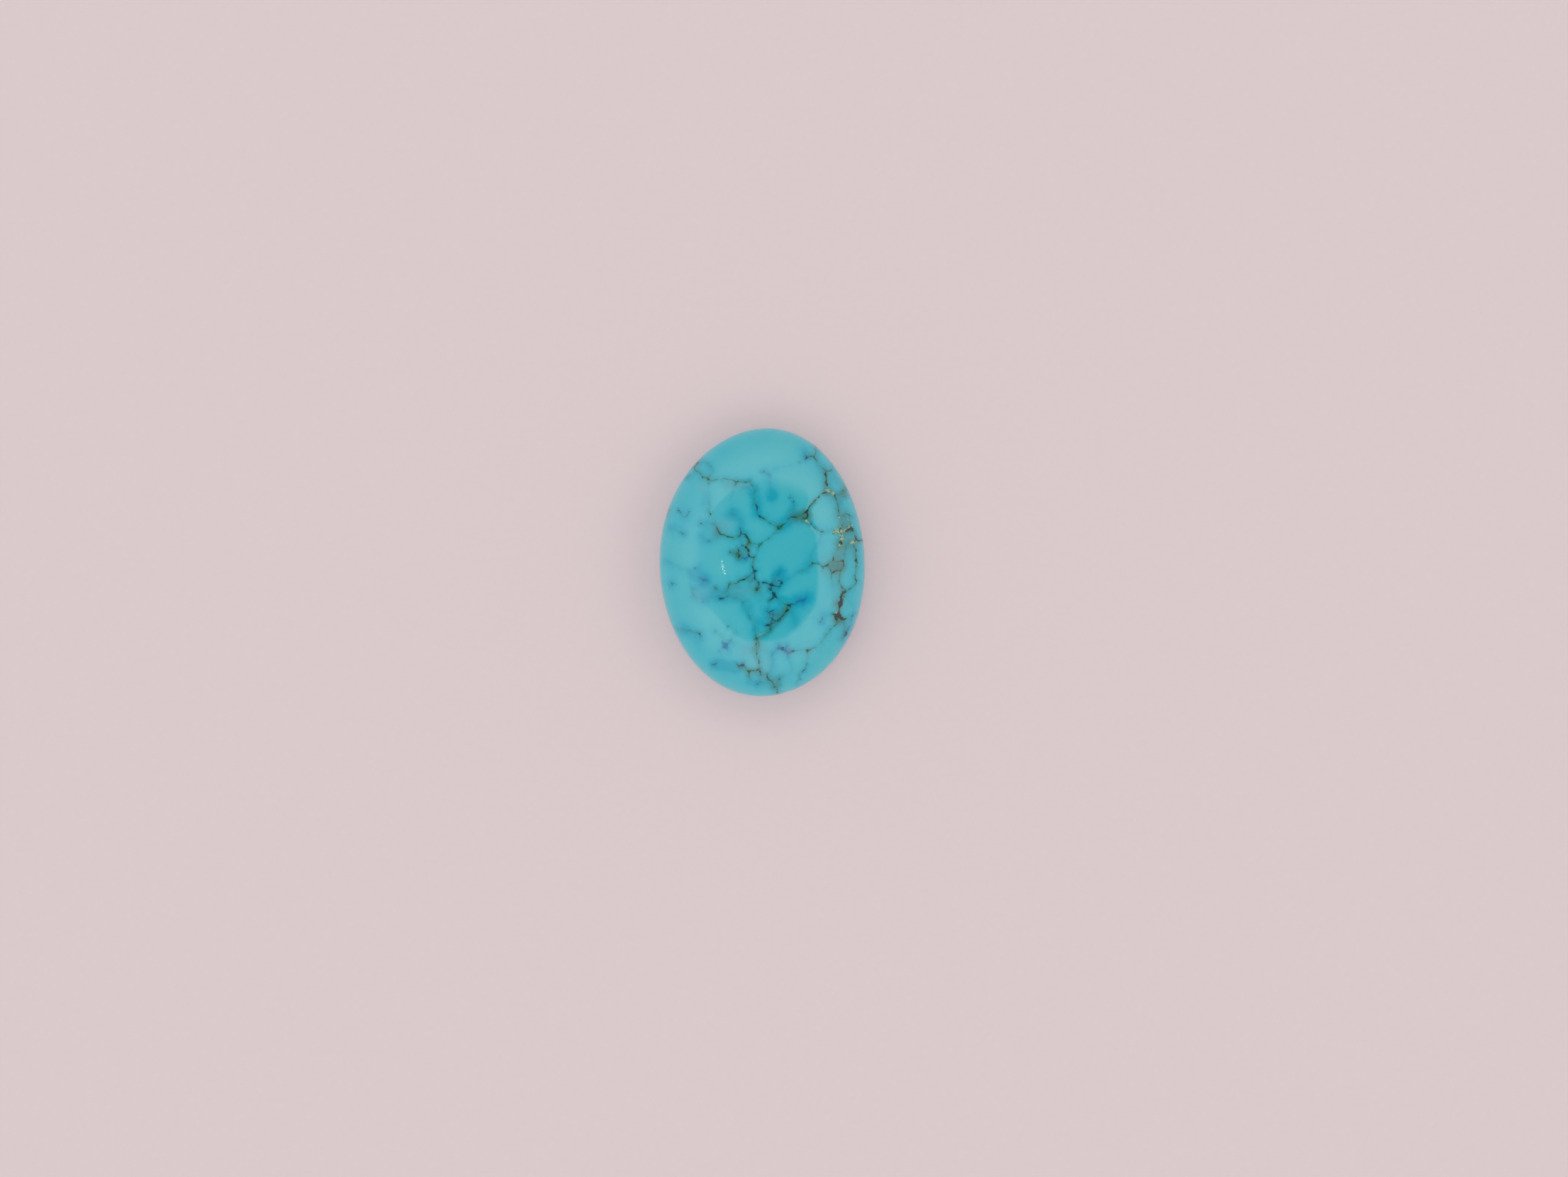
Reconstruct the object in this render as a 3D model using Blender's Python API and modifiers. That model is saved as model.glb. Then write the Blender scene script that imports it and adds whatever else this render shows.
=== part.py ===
"""An oval turquoise cabochon: one polished dome of stone with a flat ground back.

Metres, +Z up. The stone lies on its back at z = 0, centred on the origin, its length along Y.
The dome is turned on a unit circle first and then drawn out to the cutter's oval.
"""

import math

import bmesh
import bpy

MM = 0.001

# Driving dimensions
LENGTH = 18.0 * MM
WIDTH = 13.8 * MM
HEIGHT = 5.0 * MM
GIRDLE_HEIGHT = 0.7 * MM  # top of the short upright wall where the stone is widest
BACK_ROUNDING = 0.4 * MM  # radius that the back's edge is ground to, so that it won't chip

# The dome's section: 2 makes it a plain half ellipse, and more gives it fuller shoulders.
DOME_FULLNESS = 2.1

# A hand-cut oval isn't quite an ellipse. Each row adds a gentle swelling of the radius:
# how many times it comes round, its share of the radius, and where it is fullest, in degrees.
SWELLINGS = (
    (2, 0.0024, 67.5),
    (3, 0.0059, -48.0),
    (4, 0.0062, -23.5),
)

# How finely the smooth surface is faceted
SIDES = 96
DOME_RINGS = 22
ROUNDING_RINGS = 4

SMOOTH_ANGLE = math.radians(30)
STONE_COLOUR = (0.085, 0.43, 0.48, 1.0)  # linear, the stone's blue-green body
STONE_ROUGHNESS = 0.1


def clear_scene():
    for old in list(bpy.data.objects):
        bpy.data.objects.remove(old, do_unlink=True)


def side_profile():
    """(share of the radius, height) pairs from the dome's top down to the middle of the back."""
    points = []
    for ring in range(DOME_RINGS + 1):
        turn = 0.5 * math.pi * ring / DOME_RINGS
        lift = math.cos(turn) ** (2 / DOME_FULLNESS) if ring < DOME_RINGS else 0.0
        points.append((math.sin(turn), GIRDLE_HEIGHT + (HEIGHT - GIRDLE_HEIGHT) * lift))

    mean_radius = 0.25 * (LENGTH + WIDTH)
    rounding_share = BACK_ROUNDING / mean_radius
    for ring in range(ROUNDING_RINGS + 1):
        turn = 0.5 * math.pi * ring / ROUNDING_RINGS
        share = 1 - rounding_share * (1 - math.cos(turn))
        points.append((share, BACK_ROUNDING * (1 - math.sin(turn))))
    points.append((0.0, 0.0))
    return points


def turned_dome():
    """The profile turned once about Z, as one closed mesh on a unit circle."""
    points = side_profile()
    profile = bpy.data.meshes.new("dome_profile")
    profile.from_pydata(
        [(share, 0.0, height) for share, height in points],
        [(i, i + 1) for i in range(len(points) - 1)],
        [],
    )
    turning = bpy.data.objects.new("turning_dome", profile)
    bpy.context.scene.collection.objects.link(turning)
    screw = turning.modifiers.new("turn", "SCREW")
    screw.axis = "Z"
    screw.angle = math.tau
    screw.steps = SIDES
    screw.render_steps = SIDES
    screw.use_merge_vertices = True
    screw.merge_threshold = 1e-6
    bpy.context.view_layer.update()

    depsgraph = bpy.context.evaluated_depsgraph_get()
    dome = bpy.data.meshes.new_from_object(turning.evaluated_get(depsgraph))
    bpy.data.objects.remove(turning, do_unlink=True)
    return dome


def swelling(angle):
    """How much the radius grows at this angle, as a factor near 1."""
    return 1 + sum(
        share * math.cos(count * (angle - math.radians(fullest)))
        for count, share, fullest in SWELLINGS
    )


def draw_out_to_oval(mesh):
    """Stretch the unit circle to the hand-cut oval, at exactly WIDTH by LENGTH."""
    for vertex in mesh.vertices:
        grown = swelling(math.atan2(vertex.co.y, vertex.co.x))
        vertex.co.x *= grown
        vertex.co.y *= grown
    for axis, size in ((0, WIDTH), (1, LENGTH)):
        low = min(vertex.co[axis] for vertex in mesh.vertices)
        high = max(vertex.co[axis] for vertex in mesh.vertices)
        for vertex in mesh.vertices:
            vertex.co[axis] = (vertex.co[axis] - 0.5 * (low + high)) * size / (high - low)


def close_and_point_out(mesh):
    """Weld the turning's seam and poles, and turn every face outwards."""
    work = bmesh.new()
    work.from_mesh(mesh)
    bmesh.ops.remove_doubles(work, verts=work.verts, dist=1e-7)
    bmesh.ops.recalc_face_normals(work, faces=work.faces)
    work.to_mesh(mesh)
    work.free()


def turquoise():
    material = bpy.data.materials.new("polished_turquoise")
    material.use_nodes = True
    shader = material.node_tree.nodes["Principled BSDF"]
    shader.inputs["Base Color"].default_value = STONE_COLOUR
    shader.inputs["Roughness"].default_value = STONE_ROUGHNESS
    shader.inputs["Metallic"].default_value = 0.0
    return material


def build():
    clear_scene()
    mesh = turned_dome()
    draw_out_to_oval(mesh)
    close_and_point_out(mesh)
    mesh.shade_smooth()
    mesh.set_sharp_from_angle(angle=SMOOTH_ANGLE)
    mesh.name = "turquoise_cabochon"
    mesh.materials.clear()
    mesh.materials.append(turquoise())

    parts = bpy.data.collections.new("turquoise_cabochon_parts")
    bpy.context.scene.collection.children.link(parts)
    parts.objects.link(bpy.data.objects.new("turquoise_cabochon", mesh))


build()
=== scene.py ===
# %% [markdown]
# # An oval turquoise cabochon
#
# A cabochon is a stone cut as a smooth dome on a flat ground back. This one is turquoise, a soft
# blue-green copper mineral that grew as nodules in brown host rock. What is left of the rock
# between the nodules shows as a web of thin brown, olive, gold and blue-black seams, which
# stone cutters call matrix. The CAD model is loaded first, as the fixed frame, and its solid is
# then stood in for by a finer stone of exactly the same size.

# %% Load the frame
import math

import bpy
import numpy as np
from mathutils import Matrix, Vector


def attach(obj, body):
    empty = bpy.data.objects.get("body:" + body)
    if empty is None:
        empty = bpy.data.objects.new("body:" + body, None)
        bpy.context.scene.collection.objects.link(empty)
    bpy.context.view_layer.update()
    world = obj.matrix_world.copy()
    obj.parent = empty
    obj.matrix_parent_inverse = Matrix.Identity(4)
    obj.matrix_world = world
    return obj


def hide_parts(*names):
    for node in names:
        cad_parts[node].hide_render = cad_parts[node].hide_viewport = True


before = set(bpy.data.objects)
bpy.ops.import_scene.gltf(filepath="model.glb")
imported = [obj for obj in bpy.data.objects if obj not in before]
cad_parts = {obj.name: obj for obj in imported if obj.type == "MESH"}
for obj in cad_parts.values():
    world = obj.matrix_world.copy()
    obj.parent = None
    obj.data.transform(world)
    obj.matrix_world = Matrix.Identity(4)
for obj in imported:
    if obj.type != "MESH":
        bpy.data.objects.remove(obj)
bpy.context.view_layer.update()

MM = 0.001

# %% [markdown]
# ## Building node trees from a script
#
# The stone's shape and its finish are both node trees. Written out in full, each node takes four
# or five lines, so one small function adds a node, sets its settings and links its inputs.

# %% One function to add a node
# The kinds of node used most
MATH, VECTOR_MATH = "ShaderNodeMath", "ShaderNodeVectorMath"
MAP_RANGE, MIX, NOISE = "ShaderNodeMapRange", "ShaderNodeMix", "ShaderNodeTexNoise"


def add(tree, kind, links=None, **settings):
    """Add a node. Settings are its own properties. Links fill its inputs, each given by name or by
    its number among the inputs in use, from a node, one of its outputs, or a plain value."""
    node = tree.nodes.new(kind)
    for name, value in settings.items():
        setattr(node, name, value)
    inputs = [socket for socket in node.inputs if socket.enabled]
    for place, source in (links or {}).items():
        if isinstance(place, int):
            socket = inputs[place]
        else:
            socket = next(entry for entry in inputs if entry.name == place)
        if isinstance(source, bpy.types.Node):
            source = next(output for output in source.outputs if output.enabled)
        if isinstance(source, bpy.types.NodeSocket):
            tree.links.new(source, socket)
        else:
            socket.default_value = source
    return node


def linear(hex_colour):
    """An sRGB hex colour as the linear values that Blender's sockets take."""
    channels = [int(hex_colour[i:i + 2], 16) / 255 for i in (1, 3, 5)]
    return (*(c / 12.92 if c <= 0.04045 else ((c + 0.055) / 1.055) ** 2.4 for c in channels), 1.0)


# %% [markdown]
# ## The outline and the section
#
# Two curves say what shape the stone is. The outline is what a cutter draws on the slab round an
# oval template, and hand work leaves it a little fuller in places. The section runs from the top of
# the dome, over its shoulder, down a short upright wall, round the ground edge and in to the middle
# of the back. They could be drawn by hand as Bezier curves, but these follow a rule, so they are
# worked out from the stone's measures.

# %% The stone's measures
LENGTH = 18.0 * MM
WIDTH = 13.8 * MM
HEIGHT = 5.0 * MM
GIRDLE_HEIGHT = 0.7 * MM  # top of the short upright wall where the stone is widest
BACK_ROUNDING = 0.4 * MM  # radius that the back's edge is ground to
DOME_FULLNESS = 2.1  # 2 is a plain half ellipse, and more gives fuller shoulders
MEAN_RADIUS = 0.25 * (LENGTH + WIDTH)

# Gentle swellings of the hand-cut outline: how many times each comes round, its share of the
# radius, and where it is fullest, in degrees.
SWELLINGS = ((2, 0.0024, 67.5), (3, 0.0059, -48.0), (4, 0.0062, -23.5))


# %% Draw both curves
def new_object(name, data):
    """An object that holds this mesh, curve, lamp or camera, put into the scene."""
    made = bpy.data.objects.new(name, data)
    bpy.context.scene.collection.objects.link(made)
    return made


def curve_through(name, points, cyclic=False):
    """A curve object of straight steps, for a node tree to read."""
    curve = bpy.data.curves.new(name, "CURVE")
    curve.dimensions = "3D"
    spline = curve.splines.new("POLY")
    spline.points.add(len(points) - 1)
    for place, point in zip(spline.points, points):
        place.co = (*point, 1.0)
    spline.use_cyclic_u = cyclic
    return new_object(name, curve)


OUTLINE_POINTS, DOME_POINTS, EDGE_POINTS = 1440, 600, 60  # far finer than the stone's own faces

angles = np.arange(OUTLINE_POINTS) * math.tau / OUTLINE_POINTS
radius = 1 + sum(share * np.cos(count * (angles - math.radians(fullest)))
                 for count, share, fullest in SWELLINGS)
outline_points = np.stack([radius * np.cos(angles), radius * np.sin(angles), 0 * angles], axis=1)
for axis, size in ((0, WIDTH), (1, LENGTH)):
    low, high = outline_points[:, axis].min(), outline_points[:, axis].max()
    outline_points[:, axis] = (outline_points[:, axis] - 0.5 * (low + high)) * size / (high - low)
outline = curve_through("outline", outline_points.tolist(), cyclic=True)

turn = np.linspace(0, math.pi / 2, DOME_POINTS)
lift = np.clip(np.cos(turn), 0, 1) ** (2 / DOME_FULLNESS)
lift[-1] = 0.0
dome_part = np.stack(
    [MEAN_RADIUS * np.sin(turn), GIRDLE_HEIGHT + (HEIGHT - GIRDLE_HEIGHT) * lift], 1)
turn = np.linspace(0, math.pi / 2, EDGE_POINTS)
edge_part = np.stack(
    [MEAN_RADIUS - BACK_ROUNDING * (1 - np.cos(turn)), BACK_ROUNDING * (1 - np.sin(turn))], 1)
section_points = np.concatenate([dome_part, edge_part, [[0.0, 0.0]]])
section = curve_through("section", [(x, 0.0, z) for x, z in section_points.tolist()])

steps = np.linalg.norm(np.diff(section_points, axis=0), axis=1)
walk = np.concatenate([[0], np.cumsum(steps)]) / steps.sum()
BACK_STARTS = float(walk[-2])  # the share of the section's length at which the flat back begins
print(f"section {steps.sum() / MM:.2f} mm long, the back starts at {BACK_STARTS:.3f} of it")

# %% [markdown]
# ## The routes of the seams
#
# On the real stone a seam is a thin sheet of host rock that dips into the turquoise, so on the
# polished dome it shows as a line that wanders, thickens into knots where three nodules met, and
# changes colour along its way. A noise or Voronoi pattern gives a web too, but an even one, and
# this stone's web is open on the left and crowded on the right. So each seam is given as a few
# points, and the node tree adds the small wander and the ragged edge.
#
# A point is (x, y) in mm as seen from above, then half its width in mm and its colour, where
# these change.

# %% Brown, olive and gold seams
RUST, BROWN, DARK, OLIVE, KHAKI, GOLD = 0.0, 1.0, 2.0, 3.0, 3.5, 4.0

MATRIX = [
    # Upper left: from the olive knot on the rim across to the ink seam
    [(-4.3, 6.65, 0.08, OLIVE), (-4.45, 6.45, 0.04), (-4.55, 6.35, 0.05, DARK),
     (-4.72, 6.45, 0.04)],
    [(-4.55, 6.3, 0.04, DARK), (-4.45, 6.1, 0.03, OLIVE), (-4.2, 5.98), (-4.0, 5.75, 0.03),
     (-3.95, 5.62, 0.05, DARK), (-3.8, 5.6), (-3.65, 5.62, 0.05), (-3.55, 5.45, 0.08, BROWN),
     (-3.45, 5.38, 0.045, DARK), (-3.2, 5.38, 0.03), (-3.0, 5.45, 0.025, OLIVE), (-2.7, 5.48),
     (-2.4, 5.47, 0.022), (-2.0, 5.4), (-1.7, 5.28, 0.045, DARK), (-1.5, 5.3, 0.035, OLIVE),
     (-1.3, 5.25), (-1.0, 5.23, 0.045, DARK), (-0.8, 5.3, 0.04, OLIVE)],
    [(-3.55, 5.45, 0.05, DARK), (-3.57, 5.28, 0.03), (-3.5, 5.18, 0.015)],
    [(-1.7, 5.28, 0.04, DARK), (-1.72, 5.1, 0.035), (-1.75, 4.95, 0.015)],
    [(-0.8, 5.3, 0.04, OLIVE), (-0.7, 5.05, 0.045, DARK), (-0.55, 4.9, 0.02, OLIVE), (-0.45, 4.65),
     (-0.5, 4.4), (-0.45, 4.0, 0.025), (-0.4, 3.8, 0.035, DARK)],
    [(-4.3, 6.7, 0.02, OLIVE), (-3.9, 6.65, 0.012), (-3.5, 6.45), (-3.3, 6.1), (-3.4, 5.8),
     (-3.6, 5.6, 0.02)],
    [(-3.5, 3.85, 0.02, OLIVE), (-3.42, 3.6, 0.025), (-3.47, 3.35, 0.035, DARK),
     (-3.35, 3.1, 0.035)],
    [(-6.2, 3.5, 0.03, OLIVE), (-6.4, 3.2, 0.03)],
    # Upper right: the forked seam down to the gold knot
    [(3.15, 7.0, 0.03, OLIVE), (3.3, 7.03, 0.04, DARK), (3.45, 7.03, 0.05),
     (3.55, 7.2, 0.03, OLIVE), (3.6, 7.5, 0.025), (3.58, 7.8, 0.03)],
    [(2.5, 6.62, 0.035, OLIVE), (2.56, 6.66, 0.01)],
    [(3.42, 7.03, 0.05, DARK), (3.5, 6.9, 0.04), (3.65, 6.7, 0.035, OLIVE), (3.8, 6.45, 0.03),
     (4.0, 6.25), (4.25, 6.08, 0.05, DARK), (4.35, 6.05, 0.04), (4.55, 6.08, 0.03, OLIVE),
     (4.66, 6.2, 0.03)],
    [(4.25, 6.07, 0.06, DARK), (4.25, 5.9, 0.08), (4.24, 5.7, 0.13, BROWN),
     (4.25, 5.5, 0.08, OLIVE), (4.25, 5.25, 0.09, RUST), (4.33, 5.05, 0.05, DARK),
     (4.33, 4.85, 0.05, OLIVE), (4.33, 4.72, 0.11, GOLD), (4.28, 4.6, 0.07, RUST),
     (4.1, 4.57, 0.05, DARK), (3.98, 4.5, 0.04), (3.85, 4.4), (3.72, 4.25, 0.05), (3.55, 4.1, 0.04),
     (3.45, 3.95, 0.06, OLIVE), (3.3, 3.8, 0.04, DARK), (3.15, 3.65), (3.05, 3.5, 0.05),
     (3.0, 3.35, 0.12), (2.85, 3.25, 0.06), (2.7, 3.15, 0.05)],
    [(4.36, 4.72, 0.1, GOLD), (4.5, 4.6, 0.08), (4.65, 4.55, 0.06), (4.8, 4.45, 0.05, DARK),
     (4.88, 4.3, 0.05, OLIVE), (4.95, 4.1, 0.045), (5.03, 3.9, 0.04, DARK), (5.05, 3.7),
     (5.07, 3.45, 0.05), (5.1, 3.25, 0.04, OLIVE), (5.15, 3.1, 0.03)],
    [(4.85, 4.5, 0.03, OLIVE), (5.05, 4.47, 0.025), (5.2, 4.52), (5.3, 4.65),
     (5.45, 4.85, 0.04, DARK)],
    [(5.4, 5.15, 0.03, OLIVE), (5.52, 5.0, 0.03), (5.62, 4.85, 0.035, DARK),
     (5.6, 4.65, 0.03, OLIVE)],
    [(5.3, 4.35, 0.02, OLIVE), (5.6, 4.35, 0.03)],
    [(5.4, 3.05, 0.04, OLIVE), (5.6, 3.2, 0.03), (5.8, 3.1, 0.04, DARK), (6.0, 3.0, 0.03, OLIVE)],
    [(5.15, 3.1, 0.03, OLIVE), (5.3, 2.85, 0.02), (5.35, 2.5, 0.03), (5.2, 2.3, 0.06, GOLD)],
    # The olive patch between the big cells
    [(2.95, 3.32, 0.08, DARK), (3.0, 3.15, 0.09, RUST), (3.0, 3.0, 0.06, DARK),
     (2.92, 2.85, 0.09, OLIVE), (2.72, 2.85, 0.08)],
    [(2.7, 3.15, 0.06, DARK), (2.5, 3.02, 0.04, OLIVE), (2.35, 2.97, 0.07, KHAKI)],
    [(2.15, 2.95, 0.08, DARK), (2.28, 2.9, 0.08, OLIVE)],
    [(2.8, 2.78, 0.03, OLIVE), (2.98, 2.62, 0.045, GOLD), (3.12, 2.55, 0.02)],
    # The middle: rust seam, olive knots and the little ring
    [(-3.2, 2.55, 0.012, BROWN), (-3.0, 2.35, 0.025), (-2.95, 2.2, 0.035),
     (-2.85, 2.05, 0.04, RUST), (-2.75, 1.85, 0.055, BROWN), (-2.6, 1.77, 0.05, OLIVE),
     (-2.5, 1.77, 0.04), (-2.4, 1.72), (-2.25, 1.65, 0.05), (-2.0, 1.62, 0.04), (-1.8, 1.58),
     (-1.6, 1.6), (-1.5, 1.67, 0.06, DARK)],
    [(-1.08, 1.78, 0.04, DARK), (-0.95, 1.63, 0.065), (-0.9, 1.5, 0.045), (-0.85, 1.4, 0.05, OLIVE),
     (-0.8, 1.27, 0.12), (-0.95, 1.1, 0.07), (-1.03, 0.95, 0.055, DARK), (-0.95, 0.85, 0.05),
     (-0.88, 0.77, 0.09), (-0.9, 0.62, 0.05)],
    [(-1.58, 0.6, 0.04, OLIVE), (-1.48, 0.42, 0.1, DARK), (-1.5, 0.24, 0.08, OLIVE)],
    [(-1.68, 0.5, 0.05, OLIVE), (-1.5, 0.42, 0.06)],
    [(-2.07, 0.65, 0.045, OLIVE), (-2.0, 0.58, 0.03)],
    [(-0.6, 1.2, 0.015, OLIVE), (-0.3, 1.15, 0.02), (-0.1, 1.15, 0.06)],
    [(-0.6, 0.3, 0.02, OLIVE), (-0.5, 0.28, 0.045), (-0.52, 0.1, 0.035, KHAKI), (-0.55, -0.1, 0.04),
     (-0.58, -0.28, 0.03)],
    # The gold-edged seam to the lower left of the middle
    [(-0.98, -1.11, 0.03, DARK), (-1.15, -1.17, 0.1), (-1.3, -1.2, 0.05),
     (-1.5, -1.28, 0.05, KHAKI), (-1.6, -1.4, 0.05, DARK), (-1.75, -1.45, 0.05, KHAKI),
     (-1.95, -1.42), (-2.1, -1.42, 0.055), (-2.15, -1.55, 0.045, OLIVE), (-2.2, -1.72, 0.045, DARK),
     (-2.3, -1.9, 0.02), (-2.4, -2.05, 0.01)],
    [(-0.3, -1.62, 0.03, DARK), (-0.26, -1.76, 0.12), (-0.35, -1.92, 0.05, OLIVE)],
    [(-0.45, -1.75, 0.02, OLIVE), (-0.28, -1.76, 0.06, DARK), (-0.12, -1.72, 0.02)],
    [(-0.45, -1.15, 0.02, DARK), (-0.6, -1.25, 0.025, OLIVE), (-0.75, -1.3, 0.03),
     (-0.9, -1.2, 0.02)],
    [(-3.02, -1.73, 0.05, OLIVE), (-2.97, -1.77, 0.03)],
    # From the ink seam, past the small triangle, to the olive patch
    [(0.05, 2.85, 0.05, OLIVE), (0.1, 2.85, 0.06, DARK), (0.3, 2.7, 0.035, OLIVE),
     (0.5, 2.55, 0.03), (0.8, 2.4, 0.02), (0.95, 2.3, 0.03)],
    [(1.02, 2.3, 0.08, OLIVE), (1.12, 2.16, 0.1), (1.22, 2.26, 0.1), (1.38, 2.4, 0.05, DARK),
     (1.5, 2.5, 0.03, OLIVE), (1.65, 2.6, 0.025)],
    [(1.05, 2.1, 0.04, OLIVE), (0.9, 1.95, 0.02), (0.7, 1.75), (0.4, 1.5), (0.1, 1.3),
     (-0.1, 1.1, 0.05), (-0.2, 0.9, 0.02)],
    [(3.35, 2.3, 0.02, OLIVE), (3.45, 2.2, 0.04, DARK), (3.6, 2.1, 0.02, OLIVE), (3.8, 2.03, 0.02),
     (3.95, 1.97, 0.045, DARK), (4.3, 2.0, 0.01), (4.6, 2.05, 0.02, OLIVE),
     (4.8, 1.98, 0.05, GOLD)],
    # The gold and rust patch on the right
    [(4.85, 1.95, 0.1, GOLD), (5.0, 2.0, 0.08, DARK), (5.15, 2.05, 0.09, GOLD), (5.22, 2.2, 0.05),
     (5.18, 2.34, 0.06)],
    [(5.15, 2.0, 0.06, GOLD), (5.3, 1.8, 0.07), (5.25, 1.65, 0.05, RUST), (5.3, 1.55, 0.07, GOLD),
     (5.25, 1.42, 0.2, DARK), (5.22, 1.28, 0.38, BROWN), (5.14, 1.14, 0.08, GOLD),
     (5.3, 1.05, 0.05)],
    [(5.38, 1.32, 0.04, GOLD), (5.2, 1.46, 0.03)],
    [(5.4, 2.1, 0.03, OLIVE), (5.52, 2.15, 0.06, GOLD), (5.6, 2.05, 0.14, RUST),
     (5.75, 2.18, 0.14, DARK), (5.9, 2.4, 0.05, GOLD)],
    [(5.9, 2.4, 0.05, GOLD), (5.95, 2.25, 0.08, DARK), (6.0, 2.12, 0.11), (6.1, 1.95, 0.05, RUST),
     (6.2, 1.75, 0.06, DARK), (6.25, 1.6, 0.05), (6.3, 1.48, 0.06, RUST), (6.42, 1.42, 0.08),
     (6.55, 1.45, 0.06, DARK), (6.72, 1.45, 0.05)],
    [(6.3, 1.4, 0.04, RUST), (6.12, 1.35, 0.05, GOLD), (6.0, 1.25, 0.06, DARK),
     (5.85, 1.25, 0.05, GOLD)],
    [(5.85, 2.55, 0.02, OLIVE), (5.75, 2.8, 0.03), (5.9, 3.0, 0.02)],
    [(6.05, 1.2, 0.04, DARK), (6.15, 1.0, 0.035), (6.25, 0.8, 0.045), (6.22, 0.6, 0.03, OLIVE),
     (6.25, 0.3, 0.055), (6.25, 0.05, 0.1, DARK), (6.3, -0.05, 0.05), (6.25, -0.3, 0.055),
     (6.25, -0.6, 0.035, OLIVE), (6.2, -0.85, 0.04), (6.2, -1.15, 0.055, DARK), (6.3, -1.3, 0.035),
     (6.2, -1.45), (6.1, -1.6, 0.03), (5.95, -1.7), (5.8, -1.8), (5.6, -1.95), (5.5, -1.95, 0.05)],
    [(5.6, 1.2, 0.03, OLIVE), (5.55, 0.9, 0.025), (5.5, 0.6), (5.48, 0.3), (5.45, 0.1, 0.03)],
    # The seam that crosses the right half at mid height, and the little rusty ring
    [(5.1, 1.0, 0.04, GOLD), (5.0, 0.8, 0.025, OLIVE), (4.85, 0.6, 0.02), (4.75, 0.4, 0.025),
     (4.7, 0.1, 0.05, DARK), (4.6, 0.05, 0.04, RUST), (4.5, -0.05, 0.045), (4.35, -0.2, 0.08, DARK),
     (4.2, -0.25, 0.045), (4.05, -0.35, 0.03), (3.98, -0.5, 0.015)],
    [(4.05, -0.35, 0.03, DARK), (3.9, -0.25, 0.025), (3.6, -0.17), (3.4, -0.1, 0.03),
     (3.27, -0.18, 0.06), (3.35, 0.05, 0.025)],
    [(3.22, -0.22, 0.03, OLIVE), (3.0, -0.4, 0.02), (2.8, -0.55, 0.015), (2.6, -0.6, 0.01)],
    [(4.7, 0.08, 0.04, RUST), (4.85, 0.03, 0.035), (5.15, 0.03, 0.04), (5.35, 0.07, 0.07),
     (5.42, -0.1, 0.05, DARK), (5.4, -0.3, 0.045, RUST), (5.3, -0.45, 0.04),
     (5.2, -0.6, 0.06, DARK), (5.05, -0.55, 0.04, RUST), (4.8, -0.65, 0.06),
     (4.65, -0.72, 0.05, DARK), (4.55, -0.6, 0.04), (4.45, -0.4, 0.035, RUST),
     (4.38, -0.25, 0.05, DARK)],
    [(4.62, -0.75, 0.035, DARK), (4.63, -0.9, 0.025, OLIVE), (4.6, -1.1, 0.02),
     (4.65, -1.3, 0.015)],
    [(5.17, -0.65, 0.03, OLIVE), (5.15, -1.0, 0.025), (5.1, -1.3, 0.04, DARK), (5.2, -1.5, 0.04),
     (5.3, -1.7, 0.05, RUST), (5.45, -1.8, 0.045), (5.5, -1.95, 0.09, BROWN), (5.32, -2.1, 0.09),
     (5.25, -2.3, 0.12), (5.3, -2.5, 0.1), (5.15, -2.7, 0.14), (5.18, -2.85, 0.16),
     (5.15, -3.0, 0.1), (5.13, -3.2, 0.09, RUST), (5.02, -3.42, 0.09, BROWN)],
    [(5.45, -2.05, 0.03, DARK), (5.52, -2.2, 0.025), (5.4, -2.38, 0.03), (5.3, -2.42, 0.02)],
    # The black knot at the lower right and the long seam away from it
    [(4.65, -3.5, 0.03, BROWN), (4.8, -3.45, 0.09), (4.93, -3.55, 0.23), (5.08, -3.6, 0.25),
     (5.18, -3.68, 0.2), (5.3, -3.8, 0.12), (5.5, -3.8, 0.07), (5.62, -3.75, 0.03)],
    [(4.93, -3.36, 0.03, GOLD), (4.97, -3.4, 0.02)],
    [(4.95, -3.6, 0.12, BROWN), (4.94, -3.74, 0.15, DARK), (4.95, -3.86, 0.12),
     (4.98, -4.0, 0.06, OLIVE), (5.1, -3.95, 0.03, DARK), (5.2, -3.85, 0.03)],
    [(5.48, -3.85, 0.05, DARK), (5.4, -4.07, 0.02)],
    [(4.95, -4.08, 0.03, DARK), (4.85, -4.2, 0.035), (4.7, -4.3, 0.03), (4.6, -4.4),
     (4.5, -4.5, 0.04), (4.4, -4.7, 0.02, OLIVE), (4.2, -4.95), (4.05, -5.2), (3.9, -5.4, 0.012),
     (3.7, -5.6), (3.5, -5.65, 0.02), (3.3, -5.75, 0.025), (3.22, -5.8, 0.045, DARK),
     (3.1, -5.9, 0.04, RUST), (3.0, -5.87, 0.06, DARK), (2.8, -5.82, 0.02), (2.5, -5.83, 0.01)],
    [(3.02, -5.95, 0.03, DARK), (3.05, -6.2, 0.015, OLIVE), (3.0, -6.5, 0.01), (2.95, -6.8, 0.015)],
    [(5.45, -4.1, 0.03, OLIVE), (5.5, -4.4, 0.025), (5.45, -4.8, 0.03), (5.4, -4.95),
     (5.25, -5.25, 0.02)],
    # The lower cluster's green and olive part
    [(1.7, -2.85, 0.05, DARK), (1.9, -2.95, 0.04), (1.84, -3.1, 0.05, OLIVE),
     (1.66, -3.2, 0.08, DARK), (1.58, -3.28, 0.05), (1.5, -3.4, 0.035, OLIVE), (1.35, -3.6, 0.035)],
    [(1.35, -3.6, 0.035, OLIVE), (1.15, -3.8, 0.03), (0.85, -3.97), (0.62, -4.15, 0.035),
     (0.6, -4.38, 0.03)],
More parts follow.
